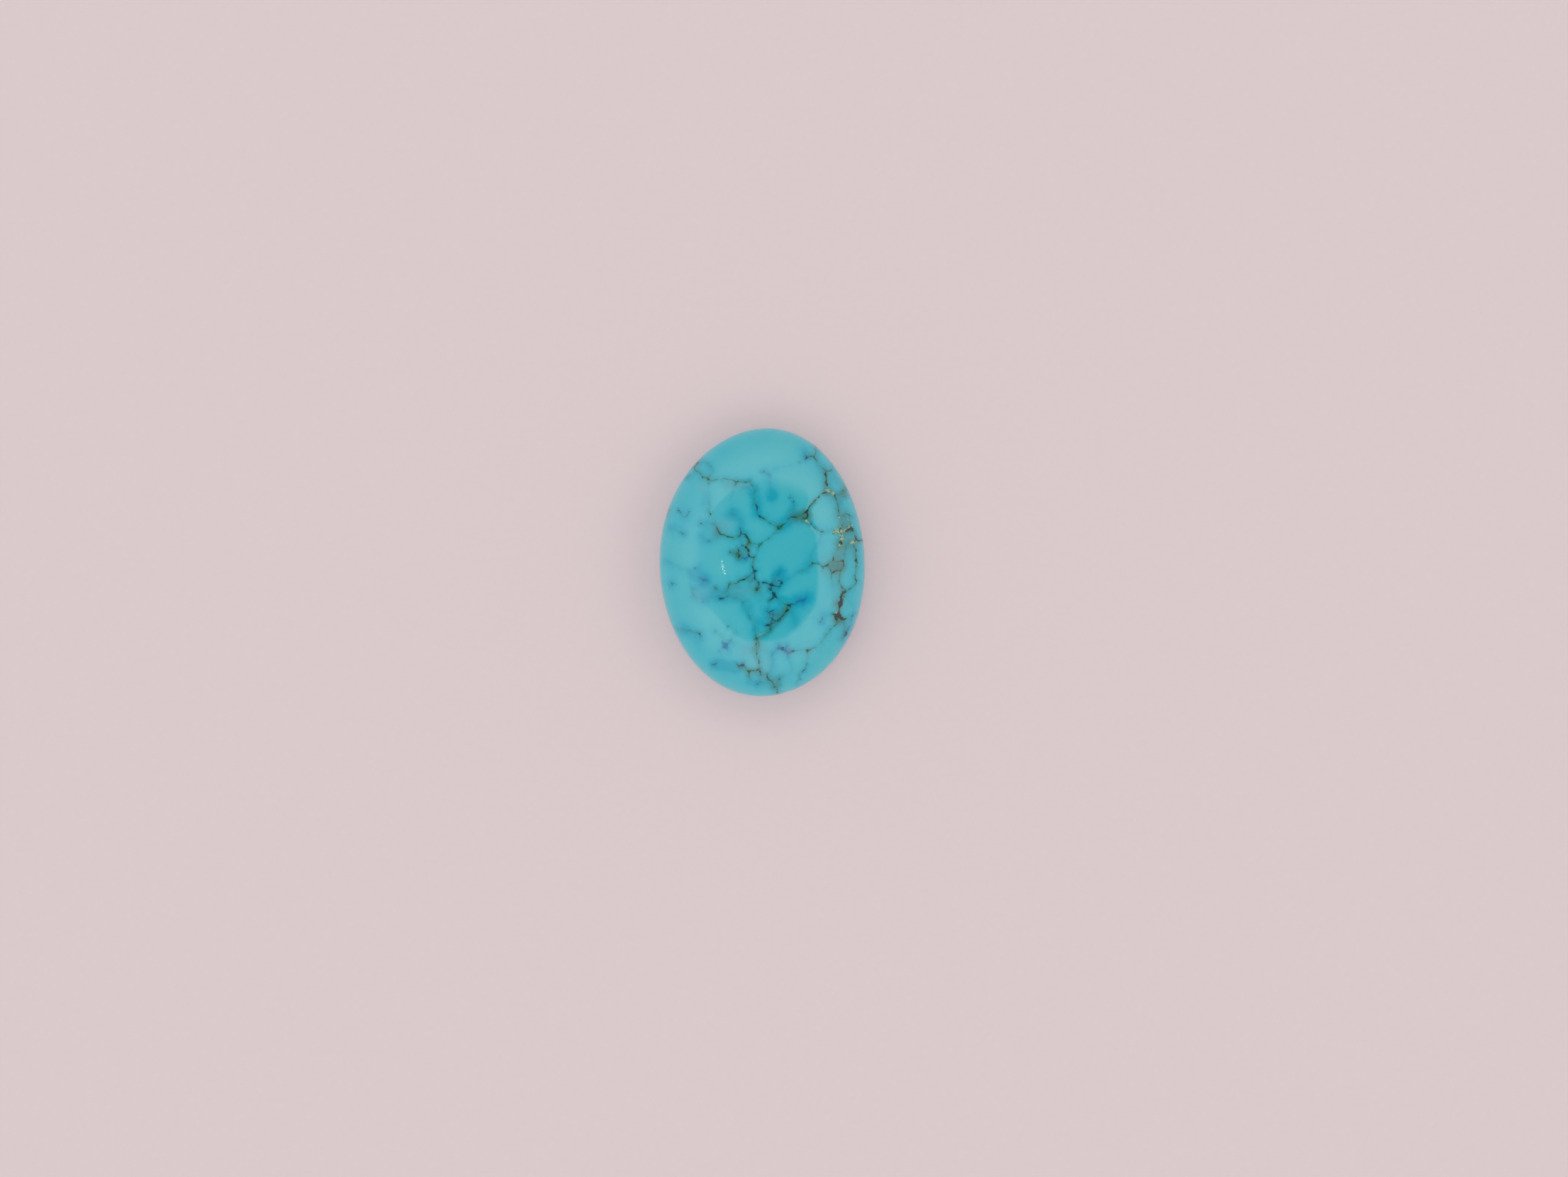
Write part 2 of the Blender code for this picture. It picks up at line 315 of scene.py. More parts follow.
    [(0.6, -4.38, 0.03, OLIVE), (0.55, -4.55, 0.05), (0.3, -4.7, 0.03), (0.1, -4.85), (-0.1, -4.9),
     (-0.35, -5.05, 0.045, DARK)],
    [(0.5, -2.55, 0.03, OLIVE), (0.46, -2.6, 0.02)],
    [(1.0, -2.35, 0.03, DARK), (1.3, -2.6, 0.02, OLIVE), (1.5, -2.8, 0.03),
     (1.7, -2.85, 0.06, DARK)],
    # The thin olive thread up to the left from the main seam
    [(-0.4, -4.9, 0.02, OLIVE), (-0.42, -4.5, 0.018), (-0.45, -4.2), (-0.55, -3.95, 0.015),
     (-0.7, -3.8, 0.022), (-0.85, -3.5), (-0.95, -3.3, 0.015), (-1.0, -3.15), (-1.1, -2.9, 0.012),
     (-1.3, -2.6), (-1.55, -2.45, 0.008), (-1.8, -2.38)],
    # The main seam down to the lower rim
    [(-0.4, -4.9, 0.02, OLIVE), (-0.35, -5.05, 0.05, DARK), (-0.32, -5.2, 0.04, OLIVE),
     (-0.38, -5.4, 0.035), (-0.35, -5.8, 0.03), (-0.32, -6.0, 0.045), (-0.35, -6.2, 0.03),
     (-0.25, -6.35, 0.04, DARK), (-0.2, -6.45, 0.03, OLIVE), (-0.2, -6.65, 0.04, 0.5),
     (-0.2, -6.85, 0.03, OLIVE), (-0.12, -7.0), (-0.15, -7.2, 0.05, DARK), (-0.1, -7.35, 0.045),
     (-0.05, -7.5, 0.05), (0.05, -7.48, 0.03), (0.3, -7.45, 0.04), (0.35, -7.6, 0.05),
     (0.38, -7.7, 0.06), (0.5, -7.85, 0.055), (0.65, -7.95, 0.04, OLIVE), (0.75, -8.15, 0.04),
     (0.82, -8.3, 0.07, DARK), (0.95, -8.32, 0.04)],
    [(-0.28, -5.15, 0.03, OLIVE), (-0.2, -5.28, 0.03, DARK), (-0.18, -5.5, 0.03, OLIVE),
     (-0.32, -5.8, 0.03)],
    [(-1.15, -6.95, 0.03, OLIVE), (-1.0, -7.15, 0.05), (-0.88, -7.25, 0.1, DARK),
     (-0.7, -7.2, 0.04, OLIVE), (-0.55, -7.22, 0.05, DARK), (-0.4, -7.22, 0.055),
     (-0.28, -7.15, 0.07, 0.5), (-0.15, -7.18, 0.04)],
    [(-0.88, -7.28, 0.06, OLIVE), (-0.85, -7.5, 0.04), (-0.85, -7.9, 0.015)],
    [(1.15, -7.75, 0.05, DARK), (1.05, -7.85, 0.03, OLIVE), (1.1, -8.2, 0.02), (1.02, -8.4, 0.025),
     (1.0, -8.65, 0.05, DARK), (0.98, -8.85, 0.03)],
    [(-5.7, -4.4, 0.012, OLIVE), (-5.3, -4.5, 0.018), (-4.85, -4.55, 0.022), (-4.5, -4.65, 0.018),
     (-4.25, -4.7, 0.03, DARK)],
    [(-4.5, -2.22, 0.03, OLIVE), (-4.46, -2.3, 0.02)],
]

# %% Blue-black seams and spots
# Here the colour runs from blue-black ink to bright blue.
INK, BLUE = 0.0, 1.0

INK_SEAMS = [
    [(-5.05, 5.6, 0.04, INK), (-4.85, 5.8, 0.03)],
    [(-5.52, 3.42, 0.035, INK), (-5.4, 3.28, 0.035)],
    [(-5.28, 3.05, 0.02, INK), (-5.08, 3.0, 0.025), (-4.92, 3.1, 0.035), (-4.84, 3.32, 0.03)],
    [(-0.4, 3.8, 0.035, INK), (-0.32, 3.58, 0.055), (-0.3, 3.3, 0.03), (-0.25, 3.1),
     (-0.15, 2.98, 0.045), (0.05, 2.85, 0.04)],
    [(2.75, 6.8, 0.02, BLUE), (2.95, 6.88, 0.05, INK), (2.93, 7.05, 0.04), (2.85, 7.15, 0.03),
     (2.8, 7.32, 0.015)],
    [(2.95, 6.9, 0.04, INK), (3.15, 7.0, 0.03), (3.3, 7.03, 0.03)],
    [(0.12, 5.95, 0.045, INK), (0.22, 5.92, 0.02, BLUE)],
    [(0.38, 5.82, 0.03, BLUE), (0.52, 5.7, 0.035)],
    [(1.88, 4.22, 0.035, INK), (1.94, 4.2, 0.02)],
    [(2.08, 3.95, 0.04, INK), (2.14, 3.92, 0.02)],
    [(1.75, 2.8, 0.04, INK), (1.9, 2.92, 0.05), (2.1, 2.95, 0.05)],
    [(-1.5, 1.67, 0.05, INK), (-1.42, 1.75, 0.04), (-1.35, 1.86, 0.07), (-1.38, 2.0, 0.035),
     (-1.42, 2.22, 0.02)],
    [(-1.35, 1.87, 0.05, INK), (-1.2, 1.82, 0.04), (-1.08, 1.78, 0.05)],
    [(-0.9, 0.66, 0.05, INK), (-0.85, 0.42, 0.04), (-0.8, 0.33, 0.055), (-0.95, 0.3, 0.03, BLUE),
     (-1.03, 0.18, 0.075), (-1.15, 0.23, 0.035, INK), (-1.3, 0.27, 0.03), (-1.42, 0.36, 0.03)],
    [(-0.8, 0.33, 0.04, INK), (-0.62, 0.28, 0.025), (-0.5, 0.28, 0.03)],
    [(-1.55, 0.6, 0.03, INK), (-1.5, 0.75, 0.045), (-1.62, 0.87, 0.02)],
    [(-1.3, 1.07, 0.05, INK), (-1.18, 1.02, 0.03), (-1.05, 0.95, 0.04)],
    [(-4.08, 2.58, 0.02, INK), (-4.0, 2.53, 0.05), (-3.9, 2.6, 0.015)],
    [(-3.45, 1.36, 0.05, INK), (-3.41, 1.34, 0.03)],
    [(-5.4, 1.97, 0.02, INK), (-5.22, 1.84, 0.03)],
    [(-1.95, 3.2, 0.02, BLUE), (-1.75, 3.08, 0.02)],
    [(-0.6, -0.33, 0.04, INK), (-0.52, -0.55, 0.035), (-0.45, -0.65, 0.11), (-0.33, -0.6, 0.04)],
    [(-0.5, -0.68, 0.04, INK), (-0.65, -0.8, 0.03), (-0.8, -0.93), (-0.95, -1.07, 0.035)],
    [(-0.47, -0.72, 0.05, INK), (-0.45, -0.95, 0.035), (-0.45, -1.15, 0.05), (-0.3, -1.28, 0.03),
     (-0.18, -1.42, 0.045), (-0.24, -1.6, 0.03)],
    [(-2.74, -2.42, 0.08, INK), (-2.5, -2.4, 0.035), (-2.3, -2.3, 0.025), (-2.15, -2.25, 0.015)],
    [(-4.4, -0.42, 0.03, INK), (-4.34, -0.46, 0.02)],
    [(-4.02, -1.05, 0.04, BLUE), (-3.85, -1.2, 0.06), (-3.6, -1.2, 0.045), (-3.52, -1.32, 0.025)],
    [(-3.85, -1.2, 0.05, BLUE), (-3.9, -1.42, 0.025)],
    [(-6.05, -1.4, 0.03, INK), (-5.94, -1.46, 0.045), (-6.0, -1.58, 0.03)],
    [(-5.93, -1.46, 0.03, INK), (-5.8, -1.42, 0.015)],
    [(-4.5, -1.75, 0.02, INK), (-4.42, -1.84, 0.02)],
    [(-3.84, -2.64, 0.025, INK), (-3.76, -2.66, 0.015)],
    [(3.2, 2.55, 0.045, INK), (3.3, 2.4, 0.02)],
    # The dark cluster right of the middle
    [(-0.05, -1.4, 0.02, INK), (0.1, -1.37, 0.04), (0.3, -1.4, 0.045), (0.5, -1.5, 0.04),
     (0.63, -1.53, 0.09), (0.85, -1.58, 0.035), (1.1, -1.64, 0.045), (1.22, -1.5, 0.03),
     (1.32, -1.38, 0.055), (1.28, -1.22, 0.02)],
    [(0.63, -1.5, 0.05, INK), (0.7, -1.33, 0.022), (0.88, -1.22), (1.12, -1.24),
     (1.3, -1.32, 0.03)],
    [(0.64, -1.58, 0.05, INK), (0.6, -1.75, 0.05), (0.68, -1.93, 0.05), (0.75, -2.1, 0.08),
     (0.9, -2.28, 0.08), (1.0, -2.36, 0.04)],
    [(0.42, -1.72, 0.02, INK), (0.5, -1.82, 0.04), (0.66, -1.93, 0.03)],
    [(0.8, -2.0, 0.03, INK), (0.95, -2.02, 0.015)],
    [(0.85, -2.3, 0.04, INK), (0.65, -2.45, 0.04), (0.5, -2.55, 0.03)],
    [(1.7, -2.85, 0.05, INK), (1.85, -2.82, 0.04), (2.0, -2.8, 0.05, BLUE), (2.2, -2.75, 0.045),
     (2.4, -2.6, 0.06), (2.6, -2.55, 0.09), (2.8, -2.5, 0.06), (2.9, -2.33, 0.025)],
    [(2.6, -2.56, 0.05, BLUE), (2.72, -2.8, 0.02)],
    [(2.45, -2.6, 0.04, BLUE), (2.42, -2.42, 0.015)],
    [(2.64, -2.5, 0.05, BLUE), (2.6, -2.34, 0.02)],
    [(0.92, -0.98, 0.02, BLUE), (1.05, -0.86, 0.045), (1.2, -0.7, 0.035), (1.34, -0.62, 0.015)],
    [(1.05, -0.86, 0.04, BLUE), (1.22, -0.92, 0.02)],
    [(1.52, -3.38, 0.05, INK), (1.35, -3.6, 0.05), (1.2, -3.7, 0.03), (1.05, -3.83, 0.05),
     (0.95, -3.9, 0.06), (0.8, -3.85, 0.035), (0.68, -3.73, 0.055)],
    [(1.2, -3.7, 0.05, INK), (1.22, -3.85, 0.03)],
    [(1.0, -3.92, 0.04, INK), (0.98, -4.08, 0.02)],
    [(0.75, -4.0, 0.04, INK), (0.6, -4.1, 0.06), (0.45, -4.15, 0.09), (0.28, -4.2, 0.04)],
    [(0.52, -4.2, 0.05, INK), (0.6, -4.38, 0.04)],
    [(0.48, -3.42, 0.035, INK), (0.6, -3.25, 0.035), (0.82, -3.19, 0.03)],
    [(0.44, -3.34, 0.035, INK), (0.62, -3.47, 0.025), (0.9, -3.45, 0.018), (1.18, -3.43),
     (1.38, -3.38), (1.52, -3.36, 0.03)],
    [(0.5, -3.46, 0.022, INK), (0.6, -3.62), (0.66, -3.8, 0.04), (0.62, -3.95, 0.025),
     (0.57, -4.08, 0.04)],
    [(0.66, -3.8, 0.03, INK), (0.87, -3.86, 0.022), (1.05, -3.92, 0.035)],
    [(0.55, -4.1, 0.03, INK), (0.5, -4.32, 0.022), (0.53, -4.52, 0.02)],
    [(0.33, -3.26, 0.04, INK), (0.4, -3.24, 0.02)],
    [(0.65, -3.72, 0.05, INK), (0.56, -3.6, 0.02)],
    # The lower half's blue spots and rings
    [(-2.52, -5.6, 0.11, BLUE), (-2.38, -5.52, 0.17), (-2.24, -5.42, 0.09)],
    [(-2.45, -5.5, 0.07, BLUE), (-2.55, -5.32, 0.03)],
    [(-2.25, -5.42, 0.05, BLUE), (-2.18, -5.25, 0.03), (-2.02, -5.14, 0.02)],
    [(-2.05, -5.3, 0.03, BLUE), (-1.9, -5.36, 0.02)],
    [(-2.36, -5.72, 0.05, BLUE), (-2.25, -5.8, 0.02)],
    [(1.08, -5.65, 0.04, BLUE), (1.22, -5.68, 0.13), (1.36, -5.73, 0.15, INK),
     (1.48, -5.8, 0.08, BLUE), (1.6, -5.62, 0.03), (1.66, -5.48, 0.015)],
    [(1.22, -5.66, 0.04, BLUE), (1.14, -5.5, 0.02)],
    [(1.5, -5.82, 0.06, BLUE), (1.66, -5.95, 0.07), (1.8, -6.0, 0.05), (1.92, -5.92, 0.05)],
    [(1.68, -5.98, 0.04, BLUE), (1.72, -6.18, 0.025), (1.74, -6.34, 0.015)],
    [(1.92, -5.93, 0.04, INK), (2.05, -5.88, 0.055), (2.2, -5.88, 0.02), (2.4, -5.84, 0.01)],
    [(1.0, -5.8, 0.03, BLUE), (0.82, -5.93, 0.025), (0.7, -6.05), (0.65, -6.22, 0.015)],
    [(-1.62, -6.8, 0.06, INK), (-1.45, -6.86, 0.065), (-1.28, -6.78, 0.07), (-1.2, -6.86, 0.05),
     (-1.3, -6.96, 0.03), (-1.42, -7.06, 0.02)],
    [(-1.58, -6.8, 0.03, INK), (-1.55, -6.98, 0.03), (-1.46, -7.02, 0.02)],
    [(-1.22, -6.86, 0.03, INK), (-1.12, -6.98, 0.03)],
    [(-4.25, -4.7, 0.03, INK), (-4.1, -4.76, 0.055), (-4.06, -4.9, 0.02)],
    [(-3.08, -4.55, 0.02, INK), (-3.02, -4.57, 0.012)],
    [(-2.24, -4.24, 0.022, INK), (-2.16, -4.27, 0.015)],
    [(-1.82, -4.7, 0.025, INK), (-1.76, -4.69, 0.012)],
    [(-2.8, -5.9, 0.03, INK), (-2.78, -5.91, 0.02)],
    [(-3.35, -6.85, 0.02, INK), (-3.1, -6.75, 0.04), (-3.02, -6.7, 0.02)],
    [(-0.32, -8.1, 0.04, INK), (-0.26, -8.12, 0.02)],
    [(-0.12, -7.95, 0.03, INK), (-0.06, -7.97, 0.02)],
    [(2.95, -6.8, 0.015, INK), (2.9, -7.05, 0.02), (2.8, -7.2, 0.04), (2.65, -7.32, 0.02)],
    [(2.46, -7.53, 0.035, INK), (2.5, -7.56, 0.02)],
    [(2.53, -7.77, 0.035, INK), (2.56, -7.8, 0.02)],
    [(3.98, -3.73, 0.045, INK), (4.04, -3.78, 0.02)],
    [(3.85, -4.0, 0.04, INK), (3.9, -4.03, 0.02)],
    [(6.1, -3.43, 0.02, INK), (6.02, -3.58, 0.035), (5.96, -3.7, 0.015)],
    [(5.95, -3.8, 0.035, BLUE), (5.88, -3.97, 0.02)],
    [(5.88, -4.22, 0.02, INK), (5.74, -4.44, 0.045, BLUE), (5.66, -4.58, 0.03)],
    [(5.62, -4.66, 0.05, INK), (5.56, -4.82, 0.09), (5.42, -4.98, 0.05, BLUE),
     (5.36, -5.12, 0.015)],
    [(5.56, -4.8, 0.035, BLUE), (5.42, -4.74, 0.015)],
]

# %% Borders that show only as a soft, darker line
GHOSTS = [
    [(-3.5, 3.85, 0.1), (-3.55, 4.6), (-3.55, 5.2)],
    [(-1.75, 4.95, 0.08), (-1.9, 4.5), (-2.05, 4.1)],
    [(0.5, 5.6, 0.12), (0.6, 4.9), (0.75, 4.5)],
    [(2.1, 3.95, 0.12), (2.1, 3.5), (2.05, 3.1)],
    [(0.5, 6.0, 0.07), (1.2, 6.25), (2.2, 6.45)],
    [(4.7, 6.05, 0.12), (5.0, 5.6), (5.3, 5.25)],
    [(-3.9, 2.6, 0.1), (-3.7, 2.62), (-3.5, 2.6), (-3.3, 2.5), (-3.1, 2.42)],
    [(-4.0, 1.7, 0.1), (-3.85, 1.45), (-3.6, 1.35), (-3.45, 1.36)],
    [(-6.2, 2.3, 0.1), (-5.8, 2.15), (-5.4, 1.95), (-5.2, 1.82)],
    [(-1.5, 1.55, 0.08), (-1.35, 1.25), (-1.3, 1.08)],
    [(-2.1, 3.1, 0.1), (-1.65, 2.95), (-1.42, 2.6), (-1.4, 2.2)],
    [(-6.3, 0.0, 0.14), (-6.0, -0.1), (-5.6, -0.25), (-5.4, -0.42), (-5.0, -0.48), (-4.8, -0.65),
     (-4.6, -0.9), (-4.2, -1.05)],
    [(-4.7, -1.7, 0.1), (-4.55, -2.1), (-4.3, -2.32), (-3.7, -2.45), (-3.3, -2.32), (-2.75, -2.42)],
    [(-2.95, -1.78, 0.1), (-3.15, -2.0), (-3.3, -2.32)],
    [(-1.55, -2.45, 0.05), (-1.8, -2.4), (-2.3, -2.2)],
    [(-0.4, -3.95, 0.1), (-0.05, -4.05), (0.25, -4.2)],
    [(0.5, -2.55, 0.1), (0.45, -2.9), (0.4, -3.25), (0.55, -3.65)],
    [(-0.28, -1.85, 0.1), (-0.1, -2.2), (0.2, -2.45), (0.48, -2.58)],
    [(-6.3, -4.25, 0.1), (-5.7, -4.4), (-5.0, -4.52), (-4.3, -4.7)],
    [(-3.05, -4.6, 0.14), (-2.7, -4.85), (-2.35, -5.25)],
    [(0.65, -6.2, 0.1), (0.7, -6.6), (0.6, -7.1), (0.35, -7.5)],
    [(1.72, -6.3, 0.1), (1.9, -6.8), (2.0, -7.2), (1.7, -7.5), (1.3, -7.7)],
    [(2.95, -6.8, 0.1), (2.8, -7.2), (2.5, -7.65), (2.3, -8.05)],
    [(4.05, -3.65, 0.1), (4.4, -3.55), (4.65, -3.5)],
    [(4.6, -1.1, 0.08), (4.65, -1.6, 0.05)],
    [(2.6, -0.6, 0.12), (2.2, -0.85), (1.8, -1.1), (1.35, -1.35)],
    [(3.2, -0.2, 0.12), (3.3, 0.6), (3.75, 1.3), (3.95, 1.9)],
    [(-0.45, 0.25, 0.1), (-0.3, 0.6), (-0.2, 0.9)],
    [(1.8, -3.25, 0.12), (2.1, -3.7), (2.15, -4.1)],
    [(5.6, -1.95, 0.06), (5.7, -2.4), (6.0, -2.9)],
]


# %% Turn the routes into wires
def wires(name, seams):
    """One mesh of bare edges, whose points carry their seam's half width in mm and its colour."""
    places, edges, half_widths, tones = [], [], [], []
    for seam in seams:
        half_width = tone = 0.0
        for step, (x, y, *changes) in enumerate(seam):
            half_width = changes[0] if changes else half_width
            tone = changes[1] if len(changes) > 1 else tone
            if step:
                edges.append((len(places) - 1, len(places)))
            places.append((x * MM, y * MM, 0.0))
            half_widths.append(half_width)
            tones.append(tone)
    mesh = bpy.data.meshes.new(name)
    mesh.from_pydata(places, edges, [])
    mesh.attributes.new("half_width", "FLOAT", "POINT").data.foreach_set("value", half_widths)
    mesh.attributes.new("tone", "FLOAT", "POINT").data.foreach_set("value", tones)
    print(f"{name}: {len(seams)} seams, {len(places)} points")
    return new_object(name, mesh)


SEAMS = {
    "matrix": wires("matrix_seams", MATRIX),
    "ink": wires("ink_seams", INK_SEAMS),
    "ghost": wires("ghost_seams", GHOSTS),
}

# %% [markdown]
# ## A node group that finds the nearest seam
#
# The finish has to know how far each point of the stone is from a seam. The group smooths the
# wires, lets them wander a little as a natural crack does, and measures from any place to the
# nearest of them. It gives back the step to the seam as a vector, which crosses zero exactly on
# the seam, so a line can be drawn much thinner than the mesh's own faces.

# %% The nearest seam
nearest = bpy.data.node_groups.new("nearest_seam", "GeometryNodeTree")
for name, kind in (("Seams", "Object"), ("From", "Vector"), ("Step", "Float"), ("Wander", "Float"),
                   ("Wander size", "Float"), ("Seed", "Float")):
    nearest.interface.new_socket(name, in_out="INPUT", socket_type="NodeSocket" + kind)
for name, kind in (("Offset", "Vector"), ("Reach", "Float"), ("Half width", "Float"),
                   ("Tone", "Float")):
    nearest.interface.new_socket(name, in_out="OUTPUT", socket_type="NodeSocket" + kind)

given = add(nearest, "NodeGroupInput").outputs
wire = add(nearest, "GeometryNodeObjectInfo", {"Object": given["Seams"]}).outputs["Geometry"]
wire = add(nearest, "GeometryNodeMeshToCurve", {"Mesh": wire})
wire = add(nearest, "GeometryNodeCurveSplineType", {"Curve": wire}, spline_type="CATMULL_ROM")
wire = add(nearest, "GeometryNodeResampleCurve", {"Curve": wire, "Length": given["Step"]},
           mode="LENGTH")
size = add(nearest, MATH, {0: 1.0, 1: given["Wander size"]}, operation="DIVIDE")
wobble = add(nearest, NOISE, {"W": given["Seed"], "Scale": size, "Detail": 3.0},
             noise_dimensions="4D").outputs["Color"]
wobble = add(nearest, VECTOR_MATH, {0: wobble, 1: (0.5, 0.5, 0.5)}, operation="SUBTRACT")
wobble = add(nearest, VECTOR_MATH, {0: wobble, 1: (1.0, 1.0, 0.0)}, operation="MULTIPLY")
wobble = add(nearest, VECTOR_MATH, {0: wobble, "Scale": given["Wander"]}, operation="SCALE")
wire = add(nearest, "GeometryNodeSetPosition", {"Geometry": wire, "Offset": wobble})
wire = add(nearest, "GeometryNodeCurveToMesh", {"Curve": wire})

closest = add(nearest, "GeometryNodeProximity",
              {"Geometry": wire, "Sample Position": given["From"]}, target_element="EDGES")
offset = add(nearest, VECTOR_MATH, {0: closest.outputs["Position"], 1: given["From"]},
             operation="SUBTRACT")
point = add(nearest, "GeometryNodeSampleNearest",
            {"Geometry": wire, "Sample Position": closest.outputs["Position"]}, domain="POINT")
found = {"Offset": offset, "Reach": closest.outputs["Distance"]}
for output, attribute in (("Half width", "half_width"), ("Tone", "tone")):
    value = add(nearest, "GeometryNodeInputNamedAttribute", {"Name": attribute}, data_type="FLOAT")
    found[output] = add(nearest, "GeometryNodeSampleIndex",
                        {"Geometry": wire, "Value": value.outputs["Attribute"], "Index": point},
                        data_type="FLOAT", domain="POINT")
add(nearest, "NodeGroupOutput", found)
print("nearest_seam:", len(nearest.nodes), "nodes")

# %% [markdown]
# ## The stone
#
# The dome could be a stretched sphere, but a sphere's faces crowd at its poles and the flat back
# would be lost. Instead the tree starts from a finely divided cube. Its top face becomes the upper
# dome, its sides the shoulder, wall and ground edge, and its bottom the flat back, so the faces
# are near enough the same size everywhere. Each point finds its place on the outline from the way
# it lies round the cube, and its place on the section from how far down the cube it lies.
#
# Seams run through the stone. Under the girdle the place where a seam is looked up drifts
# sideways, so the seams lean as they run down the wall and the back doesn't copy the top.

# %% The stone's tree: the dome
stone_tree = bpy.data.node_groups.new("cabochon", "GeometryNodeTree")
interface = stone_tree.interface
interface.new_socket("Geometry", in_out="INPUT", socket_type="NodeSocketGeometry")
interface.new_socket("Geometry", in_out="OUTPUT", socket_type="NodeSocketGeometry")
STONE_INPUTS = [
    ("Outline", "Object", outline), ("Section", "Object", section),
    ("Mean radius", "Float", MEAN_RADIUS), ("Back starts", "Float", BACK_STARTS),
    ("Shoulder starts", "Float", 0.36),  # share of the section that the cube's top face covers
    ("Faces across", "Int", 161), ("Faces down", "Int", 61),
    ("Polish waves", "Float", 0.006 * MM), ("Wave size", "Float", 3.0 * MM),
    ("Lean", "Float", 2.6 * MM), ("Lean size", "Float", 4.0 * MM),
    ("Straight above", "Float", 1.8 * MM), ("Full lean below", "Float", 0.3 * MM),
    ("Seam step", "Float", 0.05 * MM),
    ("Wander", "Float", 0.06 * MM), ("Wander size", "Float", 0.35 * MM),
    ("Undercut", "Float", 0.012 * MM), ("Undercut reach", "Float", 0.22),
    ("Seed", "Float", 7.0), ("Finish", "Material", None),
]
STONE_INPUTS += [(name + " seams", "Object", wire_object) for name, wire_object in SEAMS.items()]
for name, kind, _ in STONE_INPUTS:
    interface.new_socket(name, in_out="INPUT", socket_type="NodeSocket" + kind)

given = add(stone_tree, "NodeGroupInput").outputs
cube = add(stone_tree, "GeometryNodeMeshCube", {
    "Size": (2.0, 2.0, 2.0), "Vertices X": given["Faces across"],
    "Vertices Y": given["Faces across"], "Vertices Z": given["Faces down"]})
here = add(stone_tree, "GeometryNodeInputPosition")
cube_xyz = add(stone_tree, "ShaderNodeSeparateXYZ", {0: here}).outputs
across = [add(stone_tree, MATH, {0: cube_xyz[axis]}, operation="ABSOLUTE") for axis in (0, 1)]
out = add(stone_tree, MATH, {0: across[0], 1: across[1]}, operation="MAXIMUM")
down = add(stone_tree, MAP_RANGE, {"Value": cube_xyz[2], "From Min": 1.0, "From Max": -1.0})

on_top = add(stone_tree, MATH, {0: out, 1: given["Shoulder starts"]}, operation="MULTIPLY")
on_back = add(stone_tree, MAP_RANGE, {
    "Value": out, "From Min": 0.0, "From Max": 1.0, "To Min": 1.0, "To Max": given["Back starts"]})
along_section = add(stone_tree, MIX, {0: down, 1: on_top, 2: on_back}, data_type="FLOAT")

slopes = []
for axis in (0, 1):
    eighth = add(stone_tree, MATH, {0: cube_xyz[axis], 1: math.pi / 4}, operation="MULTIPLY")
    slopes.append(add(stone_tree, MATH, {0: eighth}, operation="TANGENT"))
angle = add(stone_tree, MATH, {0: slopes[1], 1: slopes[0]}, operation="ARCTAN2")
round_outline = add(stone_tree, MATH, {0: angle, 1: math.tau}, operation="DIVIDE")
round_outline = add(stone_tree, MATH, {0: round_outline}, operation="FRACT")

on_outline, on_section = [
    add(stone_tree, "GeometryNodeSampleCurve", {
        "Curves": add(stone_tree, "GeometryNodeObjectInfo",
                      {"Object": given[name]}).outputs["Geometry"],
        "Factor": factor}, mode="FACTOR").outputs["Position"]
    for name, factor in (("Outline", round_outline), ("Section", along_section))
]
section_xyz = add(stone_tree, "ShaderNodeSeparateXYZ", {0: on_section}).outputs
share = add(stone_tree, MATH, {0: section_xyz[0], 1: given["Mean radius"]}, operation="DIVIDE")
flat = add(stone_tree, VECTOR_MATH, {0: on_outline, "Scale": share}, operation="SCALE")
rise = add(stone_tree, "ShaderNodeCombineXYZ", {2: section_xyz[2]})
place = add(stone_tree, VECTOR_MATH, {0: flat, 1: rise}, operation="ADD")
stone = add(stone_tree, "GeometryNodeStoreNamedAttribute",
            {"Geometry": cube.outputs["Mesh"], "Name": "along_section", "Value": along_section},
            data_type="FLOAT", domain="POINT")
stone = add(stone_tree, "GeometryNodeSetPosition", {"Geometry": stone, "Position": place})

# %% The stone's tree: hand polish and the lean of the seams
polish_scale = add(stone_tree, MATH, {0: 1.0, 1: given["Wave size"]}, operation="DIVIDE")
waves = add(stone_tree, NOISE, {"W": given["Seed"], "Scale": polish_scale, "Detail": 0.0},
            noise_dimensions="4D")
waves = add(stone_tree, MATH, {0: waves, 1: 0.5}, operation="SUBTRACT")
waves = add(stone_tree, MATH, {0: waves, 1: given["Polish waves"]}, operation="MULTIPLY")
height = add(stone_tree, "ShaderNodeSeparateXYZ", {0: here}).outputs[2]
above_wall = add(stone_tree, MAP_RANGE,
                 {"Value": height, "From Min": GIRDLE_HEIGHT, "From Max": 2 * GIRDLE_HEIGHT},
                 interpolation_type="SMOOTHSTEP")
waves = add(stone_tree, MATH, {0: waves, 1: above_wall}, operation="MULTIPLY")
facing = add(stone_tree, "GeometryNodeInputNormal")
waves = add(stone_tree, VECTOR_MATH, {0: facing, "Scale": waves}, operation="SCALE")
stone = add(stone_tree, "GeometryNodeSetPosition", {"Geometry": stone, "Offset": waves})

